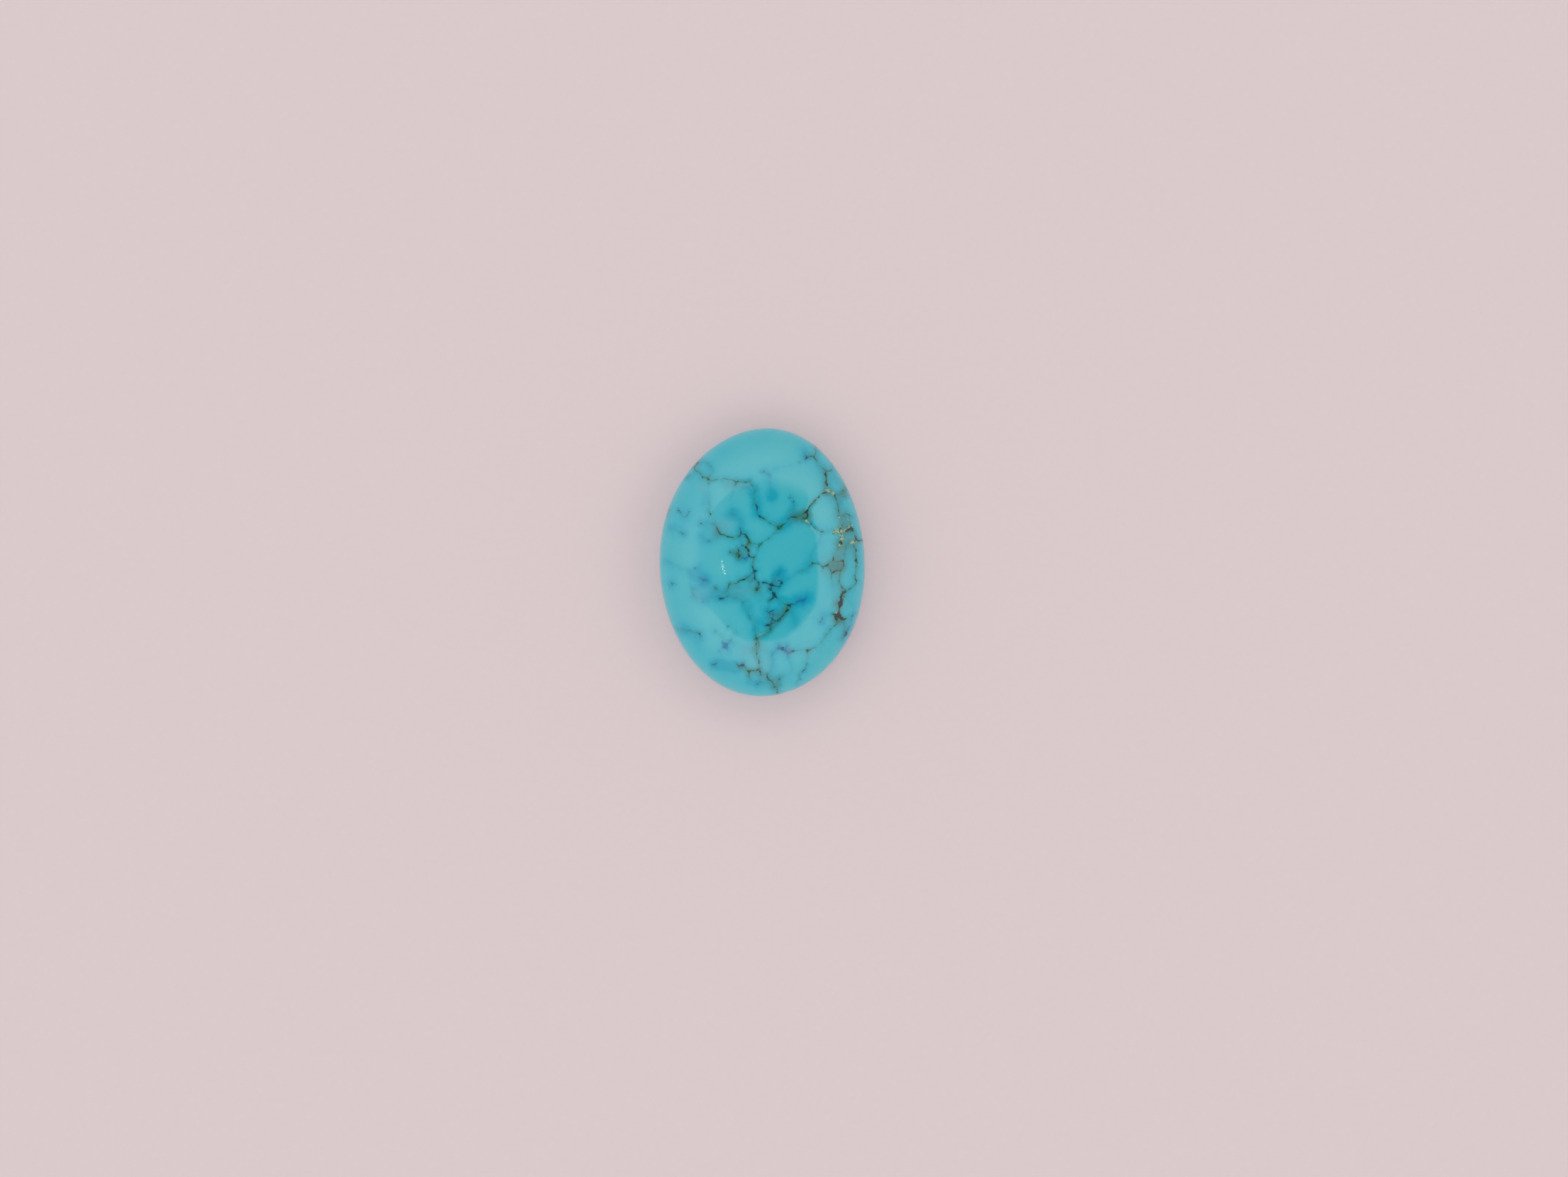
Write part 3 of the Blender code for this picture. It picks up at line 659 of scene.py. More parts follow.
lean_scale = add(stone_tree, MATH, {0: 1.0, 1: given["Lean size"]}, operation="DIVIDE")
lean = add(stone_tree, NOISE, {"W": given["Seed"], "Scale": lean_scale, "Detail": 2.0},
           noise_dimensions="4D").outputs["Color"]
lean = add(stone_tree, VECTOR_MATH, {0: lean, 1: (0.5, 0.5, 0.5)}, operation="SUBTRACT")
leaning = add(stone_tree, MAP_RANGE, {
    "Value": height, "From Min": given["Straight above"], "From Max": given["Full lean below"],
    "To Min": 0.0, "To Max": given["Lean"]}, interpolation_type="SMOOTHSTEP")
lean = add(stone_tree, VECTOR_MATH, {0: lean, "Scale": leaning}, operation="SCALE")
through = add(stone_tree, VECTOR_MATH, {0: here, 1: lean}, operation="ADD")
through = add(stone_tree, VECTOR_MATH, {0: through, 1: (1.0, 1.0, 0.0)}, operation="MULTIPLY")
stone = add(stone_tree, "GeometryNodeStoreNamedAttribute",
            {"Geometry": stone, "Name": "through", "Value": through},
            data_type="FLOAT_VECTOR", domain="POINT")
through = add(stone_tree, "GeometryNodeInputNamedAttribute", {"Name": "through"},
              data_type="FLOAT_VECTOR")

# %% The stone's tree: its seams, stored in mm, and its finish
for name in SEAMS:
    seam = add(stone_tree, "GeometryNodeGroup", {
        "Seams": given[name + " seams"], "From": through, "Step": given["Seam step"],
        "Wander": given["Wander"], "Wander size": given["Wander size"], "Seed": given["Seed"]},
        node_tree=nearest).outputs
    in_mm = add(stone_tree, VECTOR_MATH, {0: seam["Offset"], "Scale": 1 / MM}, operation="SCALE")
    reach = add(stone_tree, MATH, {0: seam["Reach"], 1: 1 / MM}, operation="MULTIPLY")
    for suffix, kind, value in (("offset", "FLOAT_VECTOR", in_mm), ("reach", "FLOAT", reach),
                                ("half_width", "FLOAT", seam["Half width"]),
                                ("tone", "FLOAT", seam["Tone"])):
        stone = add(stone_tree, "GeometryNodeStoreNamedAttribute",
                    {"Geometry": stone, "Name": f"{name}_{suffix}", "Value": value},
                    data_type=kind, domain="POINT")

near = add(stone_tree, "GeometryNodeInputNamedAttribute", {"Name": "matrix_reach"},
           data_type="FLOAT")
dip = add(stone_tree, MAP_RANGE, {
    "Value": near, "From Min": 0.0, "From Max": given["Undercut reach"],
    "To Min": given["Undercut"], "To Max": 0.0}, interpolation_type="SMOOTHSTEP")
dip = add(stone_tree, MATH, {0: dip, 1: above_wall}, operation="MULTIPLY")
dip = add(stone_tree, MATH, {0: dip, 1: -1.0}, operation="MULTIPLY")
dip = add(stone_tree, VECTOR_MATH, {0: facing, "Scale": dip}, operation="SCALE")
stone = add(stone_tree, "GeometryNodeSetPosition", {"Geometry": stone, "Offset": dip})
stone = add(stone_tree, "GeometryNodeSetShadeSmooth", {"Geometry": stone, "Shade Smooth": True})
stone = add(stone_tree, "GeometryNodeRealizeInstances", {"Geometry": stone})
stone = add(stone_tree, "GeometryNodeSetMaterial", {"Geometry": stone, "Material": given["Finish"]})
add(stone_tree, "NodeGroupOutput", {"Geometry": stone})
print("cabochon:", len(stone_tree.nodes), "nodes")

# %% Run the tree and keep its result as a plain mesh
turquoise = bpy.data.materials.new("polished_turquoise")
turquoise.use_nodes = True

growing = new_object("growing_stone", bpy.data.meshes.new("growing_stone"))
modifier = growing.modifiers.new("cabochon", "NODES")
modifier.node_group = stone_tree
identifiers = {
    entry.name: entry.identifier for entry in interface.items_tree if entry.in_out == "INPUT"}
for name, kind, value in STONE_INPUTS:
    modifier[identifiers[name]] = turquoise if kind == "Material" else value

depsgraph = bpy.context.evaluated_depsgraph_get()
stone_mesh = bpy.data.meshes.new_from_object(growing.evaluated_get(depsgraph), depsgraph=depsgraph)
stone_mesh.name = "turquoise_stone"
for helper in (growing, outline, section, *SEAMS.values()):
    bpy.data.objects.remove(helper, do_unlink=True)
stone_piece = new_object("turquoise_stone", stone_mesh)


def values(mesh, name, width=1):
    """One of the mesh's attributes as an array, a row for each point."""
    data = mesh.attributes[name].data
    flat_values = np.empty(len(data) * width)
    data.foreach_get("vector" if width == 3 else "value", flat_values)
    return flat_values.reshape(len(data), width) if width > 1 else flat_values


stone_mesh.calc_loop_triangles()
corners = values(stone_mesh, "position", 3)
print("stone:", len(stone_mesh.vertices), "points,", len(stone_mesh.loop_triangles), "triangles,",
      "box in mm", np.round(corners.min(0) / MM, 3), np.round(corners.max(0) / MM, 3))

# %% [markdown]
# ## A flat map of the stone
#
# The finish is drawn in the object's own space and needs no map, but whoever takes the stone into
# a game or a viewer gets its finish baked to an image, and an automatic map would cut the dome
# into many pieces. This one is unrolled in two: the dome with its wall and ground edge as
# one oval, spread by its section's length so that the steep sides get their room, and the flat
# back as a small oval beside it.

# %% Unroll the stone
DOME_CENTRE, DOME_SIZE = (0.375, 0.5), (0.735, 0.96)
BACK_CENTRE, BACK_SIZE = (0.875, 0.5), (0.225, 0.225 * LENGTH / WIDTH)

along = values(stone_mesh, "along_section")
direction = np.stack([corners[:, 0] / WIDTH, corners[:, 1] / LENGTH], 1) * 2
spread = np.linalg.norm(direction, axis=1, keepdims=True)
direction = direction / np.maximum(spread, 1e-9)
on_dome = 0.5 * direction * (along / BACK_STARTS)[:, None] * DOME_SIZE + DOME_CENTRE
on_back = 0.5 * direction * spread * BACK_SIZE + BACK_CENTRE

loop_points = np.empty(len(stone_mesh.loops), dtype=np.int32)
stone_mesh.loops.foreach_get("vertex_index", loop_points)
face_sizes = [polygon.loop_total for polygon in stone_mesh.polygons]
face_of_loop = np.repeat(np.arange(len(face_sizes)), face_sizes)
face_along = np.bincount(face_of_loop, along[loop_points]) / np.bincount(face_of_loop)
is_back = (face_along > BACK_STARTS)[face_of_loop]
flat_map = stone_mesh.uv_layers.new(name="OFBake")
flat_places = np.where(is_back[:, None], on_back[loop_points], on_dome[loop_points])
flat_map.data.foreach_set("uv", flat_places.ravel())
print(f"flat map: {is_back.mean():.0%} of the corners are on the back")

# %% [markdown]
# ## Clouds in the body colour
#
# Turquoise is coloured by copper, and its tone shifts from cell to cell: milky where it is more
# porous, deep teal along old borders, cobalt blue in a few spots, and earthy grey or lilac where
# host rock or clay is mixed in. The seams stain it olive, and round the gold knots it is full of
# gilt grains. A noise gives clouds anywhere, but here they belong to certain cells, so each is
# given as a spot or a short band that fades out like a brushed-on wash. They become seven
# attributes of the mesh, and noise in the finish breaks them up.

# %% Place the clouds
# (strength, radius in mm, then one place for a spot or several for a band)
CLOUDS = {
    "deep": [
        (0.7, 0.5, (0.7, 4.2)), (0.6, 0.45, (-0.55, 4.5), (-0.4, 3.9), (-0.3, 3.2)),
        (0.6, 0.6, (1.5, 2.5), (2.0, 3.0)), (0.45, 0.6, (-2.0, 3.2)), (0.4, 0.5, (-1.4, 1.9)),
        (0.5, 0.5, (-1.4, 0.4)), (0.6, 0.6, (1.1, -1.0)), (0.6, 0.5, (0.75, -2.0)),
        (0.7, 0.6, (1.5, -2.9), (3.2, -2.3)), (0.3, 0.6, (0.5, -3.8)), (0.3, 0.45, (-0.3, -4.3)),
        (0.5, 0.7, (2.1, -4.0)), (0.45, 0.5, (3.0, -0.2)), (0.5, 0.6, (-2.7, -2.2)),
        (0.4, 0.6, (-3.9, -1.2)), (0.4, 0.4, (-3.1, -6.8)), (0.7, 0.45, (-2.7, -6.8), (-1.9, -7.0)),
        (0.4, 0.7, (-2.2, -6.9)), (0.45, 0.5, (-0.5, -7.8), (1.0, -7.8)), (0.4, 0.6, (-5.3, -4.5)),
        (0.4, 0.7, (-4.2, -5.5)), (0.35, 0.8, (-2.5, 7.4)), (0.15, 0.6, (0.5, 8.6)),
        (0.4, 0.5, (2.9, 7.0)), (0.35, 0.7, (-3.8, 3.8), (-3.9, 0.5), (-3.8, -2.6)),
        (0.35, 0.4, (-3.0, 1.7)), (0.4, 0.5, (-3.0, 5.6), (-1.2, 5.2)), (0.4, 0.4, (-1.3, -6.9)),
        (0.3, 0.5, (4.2, 6.0), (4.3, 4.7), (5.0, 4.0), (5.05, 3.4)), (0.3, 0.6, (-0.6, -2.8)),
        (0.5, 0.4, (-4.6, -0.8)),
    ],
    "milky": [
        (0.7, 0.9, (-2.8, 4.3), (-2.6, 4.8)), (0.8, 0.9, (4.1, 3.1)), (0.5, 0.8, (3.3, 5.0)),
        (0.5, 0.8, (1.5, 5.6)), (0.5, 0.9, (-2.0, 6.0), (1.0, 6.9)), (0.5, 1.1, (-5.3, 0.6)),
        (0.5, 0.7, (-5.3, -1.4)), (0.8, 0.8, (-3.7, -3.6), (-2.3, -4.6)), (0.6, 0.7, (-3.2, -5.2)),
        (0.45, 0.6, (-0.2, -5.7)), (0.3, 0.6, (-1.8, -6.0)), (0.5, 0.5, (-0.6, -6.5)),
        (0.5, 0.7, (2.6, -6.2), (1.7, -8.2)), (0.35, 0.8, (4.3, -1.2), (4.4, -2.8)),
        (0.45, 0.7, (1.9, 4.6)), (0.5, 0.6, (-0.2, 2.3)), (0.4, 0.6, (0.1, -0.6)),
        (0.5, 0.8, (-3.3, 0.6), (-2.4, -0.8)), (0.4, 0.8, (1.5, 7.9)), (0.5, 0.8, (3.2, -4.6)),
    ],
    "cobalt": [
        (0.5, 0.45, (-3.8, -1.2)), (0.5, 0.5, (2.7, -2.5)), (0.5, 0.35, (-2.4, -5.5)),
        (0.5, 0.35, (1.3, -5.7)), (0.35, 0.4, (1.2, -0.75)), (0.2, 0.5, (-5.3, 3.4)),
        (0.25, 0.4, (0.6, 4.2)), (0.2, 0.3, (0.3, 6.0)), (0.2, 0.4, (0.6, -3.5)),
        (0.2, 0.6, (4.0, -3.6)), (0.3, 0.25, (-1.0, 0.3)), (0.2, 0.4, (-4.0, -4.8)),
        (0.15, 0.4, (-2.4, -6.7)), (0.2, 0.4, (2.6, -7.4)), (0.2, 0.4, (-5.6, -4.3)),
        (0.4, 0.3, (5.55, -4.8)), (0.3, 0.5, (-1.1, -5.9)),
    ],
    "earthy": [
        (0.7, 0.45, (2.2, 2.95), (2.9, 3.0)), (0.45, 0.5, (5.3, 2.9), (5.7, 1.8), (5.9, 0.9)),
        (1.0, 0.4, (4.85, -0.25), (5.2, -0.3)), (0.55, 0.35, (5.05, 0.45), (5.2, 0.75)),
        (0.4, 0.3, (4.3, 4.6)), (0.45, 0.25, (-0.85, 1.2)), (0.5, 0.35, (-1.6, 0.5)),
        (0.5, 0.25, (1.1, 2.3)), (0.3, 0.2, (-0.35, -5.1), (-0.3, -6.4)),
        (0.3, 0.3, (-0.9, -7.2), (-0.2, -7.2)), (0.4, 0.25, (1.6, -3.2)), (0.5, 0.35, (5.1, -3.75)),
        (0.25, 0.4, (5.0, -0.9), (5.1, -2.8)), (0.4, 0.3, (5.0, 1.2)), (0.85, 0.28, (5.42, 4.62)),
        (0.2, 0.4, (4.2, 0.2), (4.3, -0.8)), (0.6, 0.25, (1.8, -5.9)), (0.45, 0.25, (-0.6, -5.8)),
        (0.2, 0.4, (0.2, -5.8)), (0.35, 0.25, (-1.35, -6.85)),
        (0.25, 0.4, (-2.2, 5.1), (-1.3, 5.0)), (0.6, 0.3, (4.95, -2.8)), (0.7, 0.3, (4.95, -3.85)),
        (0.25, 0.35, (-3.0, 1.6)), (0.25, 0.4, (4.2, 6.0), (4.3, 4.7), (5.0, 4.0), (5.05, 3.4)),
        (0.25, 0.5, (-2.2, -2.0), (-0.3, -1.8)), (0.3, 0.45, (0.2, -7.8), (1.0, -7.9)),
        (0.3, 0.25, (0.9, -8.3)), (0.35, 0.25, (-0.3, -1.8)), (0.3, 0.45, (-2.9, 2.1)),
    ],
    "lilac": [
        (0.25, 0.4, (-3.15, 2.5), (-2.9, 2.1)), (0.3, 0.5, (-4.2, -2.2), (-3.5, -2.0)),
        (0.5, 0.3, (1.75, -5.9)), (0.4, 0.3, (-0.85, 0.75)), (0.4, 0.3, (2.9, 3.1)),
        (0.3, 0.6, (-2.3, 2.4)), (0.5, 0.25, (5.3, 0.0)), (0.4, 0.3, (5.3, -2.9)),
        (0.3, 0.5, (3.1, -5.9)), (0.4, 0.4, (-3.8, 5.0)), (0.3, 0.55, (-1.15, -5.9)),
        (0.3, 0.5, (-0.6, -6.8), (0.2, -6.8)),
    ],
    "gilt": [
        (0.85, 0.16, (4.75, 1.95), (5.15, 2.05)), (1.0, 0.15, (5.25, 1.85), (5.28, 1.55)),
        (0.9, 0.1, (5.12, 1.12)), (0.8, 0.13, (5.15, 2.3)), (1.0, 0.14, (4.32, 4.74), (4.7, 4.55)),
        (0.6, 0.12, (5.5, 2.15), (5.95, 2.5)), (0.8, 0.12, (5.12, 3.0)),
        (1.0, 0.1, (5.9, 1.28), (6.2, 1.38)), (0.55, 0.1, (2.85, 2.72), (3.12, 2.55)),
        (0.4, 0.12, (5.55, 2.95), (5.9, 2.75)), (0.8, 0.08, (4.95, -3.38)),
        (0.5, 0.08, (-0.78, 1.25)), (0.4, 0.1, (3.4, 3.9)), (0.4, 0.08, (-1.62, 0.52)),
    ],
    "olive": [
        (0.8, 0.2, (2.2, 2.93), (2.45, 2.98)), (0.9, 0.26, (2.85, 3.15), (2.85, 2.9)),
        (0.6, 0.15, (3.0, 2.62)), (0.7, 0.18, (1.08, 2.28), (1.3, 2.28)), (0.5, 0.12, (-0.1, 1.15)),
        (0.7, 0.16, (-0.85, 1.3), (-0.8, 1.15)), (0.6, 0.16, (-0.92, 0.8)),
        (0.8, 0.2, (-1.5, 0.5), (-1.5, 0.28)), (0.5, 0.2, (-1.9, 0.62), (-1.6, 0.5)),
        (0.6, 0.3, (5.8, 2.15)), (0.4, 0.3, (5.0, 1.25)), (0.3, 0.3, (5.8, 1.25)),
        (0.6, 0.18, (-0.28, -1.8)), (0.4, 0.15, (0.48, -2.65)),
        (0.5, 0.22, (1.75, -3.0), (1.5, -3.4)), (0.6, 0.2, (0.55, -4.45), (0.2, -4.8)),
        (0.5, 0.2, (-0.35, -5.05)), (0.5, 0.15, (-3.0, -1.75)), (0.7, 0.18, (4.3, 4.72)),
        (0.5, 0.2, (3.45, 3.95)), (0.5, 0.2, (5.2, 2.2), (5.3, 1.7)), (0.5, 0.2, (5.2, 1.2)),
        (0.6, 0.18, (-0.9, -7.25)), (0.4, 0.2, (-0.2, -7.2)), (0.4, 0.15, (-3.6, 5.5)),
        (0.5, 0.15, (-4.3, 6.6)), (0.5, 0.2, (5.15, -3.75)), (0.5, 0.2, (0.85, -8.3)),
    ],
}


def distance_to(spots, places):
    """How far each place is, in mm, from the spot or the band drawn through several spots."""
    best = np.full(len(places), np.inf)
    for start, end in zip(spots, spots[1:] or spots):
        start, run = np.array(start), np.array(end) - np.array(start)
        part = np.clip((places - start) @ run / max(run @ run, 1e-9), 0, 1)
        best = np.minimum(best, np.linalg.norm(places - start - part[:, None] * run, axis=1))
    return best


places = values(stone_mesh, "through", 3)[:, :2] / MM

# How crowded with seams a place is: the length of seam near it, in mm. Host rock lingers between
# crowded seams, so the small cells there turn greyer.
CROWD_REACH = 0.4  # how far from a place a seam still counts as near it, in mm
CROWDED = 0.75  # the length of seam from which a place turns greyer, in mm
CROWD_EARTH = 0.5  # how strong that grey grows, as the strength of an earthy cloud
crowd = np.zeros(len(places))
for seam in MATRIX + INK_SEAMS:
    route = np.array([point[:2] for point in seam])
    steps = np.linalg.norm(np.diff(route, axis=0), axis=1)
    lengths = 0.5 * (np.append(steps, 0) + np.append(0, steps))
    for place, length in zip(route, lengths):
        crowd += length * np.exp(-(((places - place) / CROWD_REACH) ** 2).sum(axis=1))
print(f"seam near each place: mean {crowd.mean():.2f} mm, most {crowd.max():.2f} mm")

for name, clouds in CLOUDS.items():
    amount = CROWD_EARTH * np.clip(crowd - CROWDED, 0, 1) if name == "earthy" else 0 * crowd
    for strength, radius_mm, *spots in clouds:
        amount += strength * np.exp(-((distance_to(spots, places) / radius_mm) ** 2))
    attribute = stone_mesh.attributes.new(name, "FLOAT", "POINT")
    attribute.data.foreach_set("value", np.minimum(amount, 1.0))
    print(f"{name}: {len(clouds)} clouds, mean {amount.mean():.3f}")

# %% [markdown]
# ## Polished turquoise
#
# Turquoise is a porous phosphate of copper and aluminium. Most of what is cut is first stabilised
# with clear resin, which fills the pores and takes the polish, so the gloss is nearer the resin's
# IOR of 1.52 than the mineral's own 1.61. To the eye it is an opaque, slightly milky blue-green
# body under clear reflections. The matrix is softer and stays duller, and the back is only ground
# flat. One material covers all of it, since it is all one piece of stone. It is built in layers,
# as a painter would: body colour, clouds, soft borders, stains, ink, brown matrix, then the back.

# %% Places in mm, and the noises that the layers share
tree = turquoise.node_tree
tree.nodes.clear()
spot = add(tree, "ShaderNodeTexCoord").outputs["Object"]
spot = add(tree, VECTOR_MATH, {0: spot, "Scale": 1 / MM}, operation="SCALE")

# From the broadest to the finest: the size of its patches in mm, its detail and its roughness.
drift, mottle, swell, fray, grain = [
    add(tree, NOISE,
        {"Vector": spot, "Scale": 1 / patch, "Detail": detail, "Roughness": roughness})
    for patch, detail, roughness in (
        (2.4, 2.0, 0.5), (0.9, 5.0, 0.65), (0.35, 2.0, 0.5), (0.16, 2.0, 0.5), (0.06, 1.0, 0.5))
]

# What the mesh carries: the clouds, and the way to the nearest seam of each sort.
carried = {name: "Fac" for name in CLOUDS}
for name in SEAMS:
    carried.update({f"{name}_offset": "Vector", f"{name}_reach": "Fac", f"{name}_half_width": "Fac"})
carried.update(ink_tone="Fac", matrix_tone="Fac")
for name, output in carried.items():
    carried[name] = add(tree, "ShaderNodeAttribute", attribute_name=name).outputs[output]

# %% Body colour: milky, middle and deep turquoise
# One number runs from 0, the milkiest cell, to 1, the most saturated border.
closest = add(tree, MATH, {0: carried["matrix_reach"], 1: carried["ghost_reach"]},
              operation="MINIMUM")
closest = add(tree, MATH, {0: closest, 1: carried["ink_reach"]}, operation="MINIMUM")
border = add(tree, MAP_RANGE,
             {"Value": closest, "From Min": 0.0, "From Max": 0.8, "To Min": 0.36, "To Max": 0.0},
             interpolation_type="SMOOTHSTEP")
patchy = add(tree, MAP_RANGE,
             {"Value": drift, "From Min": 0.35, "From Max": 0.6, "To Min": 0.45, "To Max": 1.0})
border = add(tree, MATH, {0: border, 1: patchy}, operation="MULTIPLY")
depth = border
for part, weight in ((carried["deep"], 0.55), (carried["milky"], -0.33), (drift, 0.15),
                     (mottle, 0.42), (swell, 0.16), (fray, 0.14), (grain, 0.1)):
    depth = add(tree, MATH, {0: part, 1: weight, 2: depth}, operation="MULTIPLY_ADD")
body = add(tree, "ShaderNodeValToRGB", {0: depth})

# Body tones from milky to deep, then matrix tones in the order of the seams' own numbers, then
# those of the flecks round the gold knots, from dark gaps to pale grains.
BODY_TONES = [(0.0, "#57C4CF"), (0.3, "#4AC0CC"), (0.65, "#3CBBCD"), (1.0, "#15ACC4")]
PALEST = 4.6  # where the gold is at its palest, on the scale from RUST to GOLD
MATRIX_TONES = [(RUST, "#50403A"), (BROWN, "#1C2624"), (DARK, "#003A32"), (OLIVE, "#0E6C58"),
                (GOLD, "#62906E"), (PALEST, "#B0B48A")]
FLECK_TONES = [(0.0, "#08201A"), (0.3, "#1E5244"), (0.42, "#4C9C8C"), (0.56, "#79B69C"),
               (0.7, "#B4BA90"), (1.0, "#E8E0B8")]
matrix_colour, fleck_colour = [add(tree, "ShaderNodeValToRGB") for _ in range(2)]
for ramp, tones, top in ((body, BODY_TONES, 1.0), (matrix_colour, MATRIX_TONES, PALEST),
                         (fleck_colour, FLECK_TONES, 1.0)):
    stops = ramp.color_ramp.elements
    stops.remove(stops[1])
    stops[0].color = linear(tones[0][1])
    for position, tone in tones[1:]:
        stops.new(position / top).color = linear(tone)

# %% Washes over the body
NOISE_LOW, NOISE_HIGH = 0.38, 0.62  # most of a noise lies between these

# Which cloud, the noise that breaks it up, how much of it shows at least and at most, and its tint.
WASHES = [
    ("cobalt", swell, 0.2, 0.8, "#0892C8"), ("earthy", mottle, 0.8, 1.0, "#4C7F7E"),
    ("lilac", swell, 0.3, 0.7, "#80A6B6"), ("olive", fray, 0.3, 1.0, "#1C7A64"),
]
colour = body
for name, noise, least, most, tint in WASHES:
    amount = add(tree, MAP_RANGE, {"Value": noise, "From Min": NOISE_LOW, "From Max": NOISE_HIGH,
                                   "To Min": least, "To Max": most})
    amount = add(tree, MATH, {0: carried[name], 1: amount}, operation="MULTIPLY")
    colour = add(tree, MIX, {0: amount, 1: colour, 2: linear(tint)}, data_type="RGBA")

# %% [markdown]
# ## Seams
#
# Each seam is a line about 0.1 mm wide, a little soft at its edges, since turquoise lets light some
# way in. The stone's mesh carries the step to the nearest seam and the seam's own half width and
# colour. Where the nearest seam changes over, halfway between two, that step swings round and
# would pass through zero as well, so the plain distance, less about one face of the mesh, holds it
# up there.

# %% How far off a seam is, and how much of a place is seam
FACE = 0.09  # about the size of one face of the stone's mesh, in mm

off, half, line = {}, {}, {}
for name, ragged, softness, thinnest in (
        ("ghost", 0.2, 0.1, 0.42), ("ink", 0.12, 0.028, 0.62), ("matrix", 0.14, 0.03, 0.42)):
    step = add(tree, VECTOR_MATH, {0: carried[name + "_offset"]}, operation="LENGTH")
    hold = add(tree, MATH, {0: carried[name + "_reach"], 1: FACE}, operation="SUBTRACT")
    away = add(tree, MATH, {0: step, 1: hold}, operation="MAXIMUM")
    for noise, amount in ((fray, ragged), (grain, 0.5 * ragged)):
        rough = add(tree, MATH, {0: noise, 1: 0.5}, operation="SUBTRACT")
        away = add(tree, MATH, {0: rough, 1: amount, 2: away}, operation="MULTIPLY_ADD")
    uneven = add(tree, MAP_RANGE, {"Value": swell, "From Min": NOISE_LOW, "From Max": NOISE_HIGH,
                                   "To Min": thinnest, "To Max": 1.1})
    wide = add(tree, MATH, {0: carried[name + "_half_width"], 1: uneven}, operation="MULTIPLY")
    inner = add(tree, MATH, {0: wide, 1: softness}, operation="SUBTRACT")
    outer = add(tree, MATH, {0: wide, 1: softness}, operation="ADD")
    off[name], half[name] = away, wide
    within = add(tree, MAP_RANGE, {"Value": away, "From Min": outer, "From Max": inner},
                 interpolation_type="SMOOTHSTEP")
    solid = add(tree, MAP_RANGE,
                {"Value": wide, "From Min": 0.0, "From Max": 0.045, "To Min": 0.1, "To Max": 1.0})
    line[name] = add(tree, MATH, {0: within, 1: solid}, operation="MULTIPLY")

ghost = add(tree, MATH, {0: line["ghost"], 1: 0.26}, operation="MULTIPLY")
colour = add(tree, MIX, {0: ghost, 1: colour, 2: linear("#2C9AA5")}, data_type="RGBA")

# %% Stains, which a seam leaves in the turquoise beside it
# How far off they end, in mm, and their tint. A wide seam leaves a stronger stain than a thin one.
for name, ends, tint in (("ink", 0.28, "#0C86A0"), ("matrix", 0.3, "#2F9285")):
    beside = add(tree, MAP_RANGE, {"Value": off[name], "From Min": ends, "From Max": 0.0},
                 interpolation_type="SMOOTHSTEP")
    strong = add(tree, MAP_RANGE,
                 {"Value": carried[name + "_half_width"], "From Min": 0.012, "From Max": 0.06,
                  "To Min": 0.15, "To Max": 0.55})
    stain = add(tree, MATH, {0: beside, 1: strong}, operation="MULTIPLY")
    colour = add(tree, MIX, {0: stain, 1: colour, 2: linear(tint)}, data_type="RGBA")

# %% Ink, the blue-black seams
ink_tone = add(tree, MIX, {0: carried["ink_tone"], 1: linear("#03404B"), 2: linear("#0078B2")},
               data_type="RGBA")
ink_cover = add(tree, MATH, {0: line["ink"], 1: 0.92}, operation="MULTIPLY")
colour = add(tree, MIX, {0: ink_cover, 1: colour, 2: ink_tone}, data_type="RGBA")

# %% Hairlines, the web of fine cracks that leaves the seams
# They fade out within half a millimetre of a seam.
CELL = 0.55  # how far apart the hairlines run, in mm
bent = add(tree, NOISE, {"Vector": spot, "Scale": 1 / 0.3, "Detail": 2.0}).outputs["Color"]
bent = add(tree, VECTOR_MATH, {0: bent, "Scale": 0.2}, operation="SCALE")
bent = add(tree, VECTOR_MATH, {0: spot, 1: bent}, operation="ADD")
hair = add(tree, "ShaderNodeTexVoronoi", {"Vector": bent, "Scale": 1 / CELL},
           feature="DISTANCE_TO_EDGE")
hair = add(tree, MAP_RANGE, {"Value": hair, "From Min": 0.09, "From Max": 0.0},
           interpolation_type="SMOOTHSTEP")
by_seam = add(tree, MATH, {0: carried["matrix_reach"], 1: carried["ink_reach"]},
              operation="MINIMUM")
by_seam = add(tree, MAP_RANGE, {"Value": by_seam, "From Min": 0.5, "From Max": 0.1},
              interpolation_type="SMOOTHSTEP")
some = add(tree, MAP_RANGE, {"Value": swell, "From Min": 0.47, "From Max": 0.6, "To Max": 0.26})
for part in (by_seam, some):
    hair = add(tree, MATH, {0: hair, 1: part}, operation="MULTIPLY")
colour = add(tree, MIX, {0: hair, 1: colour, 2: linear("#0F6A70")}, data_type="RGBA")

# %% Matrix, the rust, brown, olive and gold seams
# A seam is darkest in its middle and turns olive at its edges, and gold breaks up into pale and
# dark grains.
tone = carried["matrix_tone"]
towards_edge = add(tree, MATH, {0: off["matrix"], 1: half["matrix"]}, operation="DIVIDE",
                   use_clamp=True)
speckle = add(tree, MAP_RANGE,
              {"Value": tone, "From Min": OLIVE, "From Max": GOLD, "To Min": 1.4, "To Max": 8.0})
speck = add(tree, MATH, {0: grain, 1: 0.5}, operation="SUBTRACT")
tone = add(tree, MATH, {0: towards_edge, 1: 0.4, 2: tone}, operation="MULTIPLY_ADD")
tone = add(tree, MATH, {0: speck, 1: speckle, 2: tone}, operation="MULTIPLY_ADD")
tone = add(tree, MATH, {0: tone, 1: 0.2}, operation="SUBTRACT")
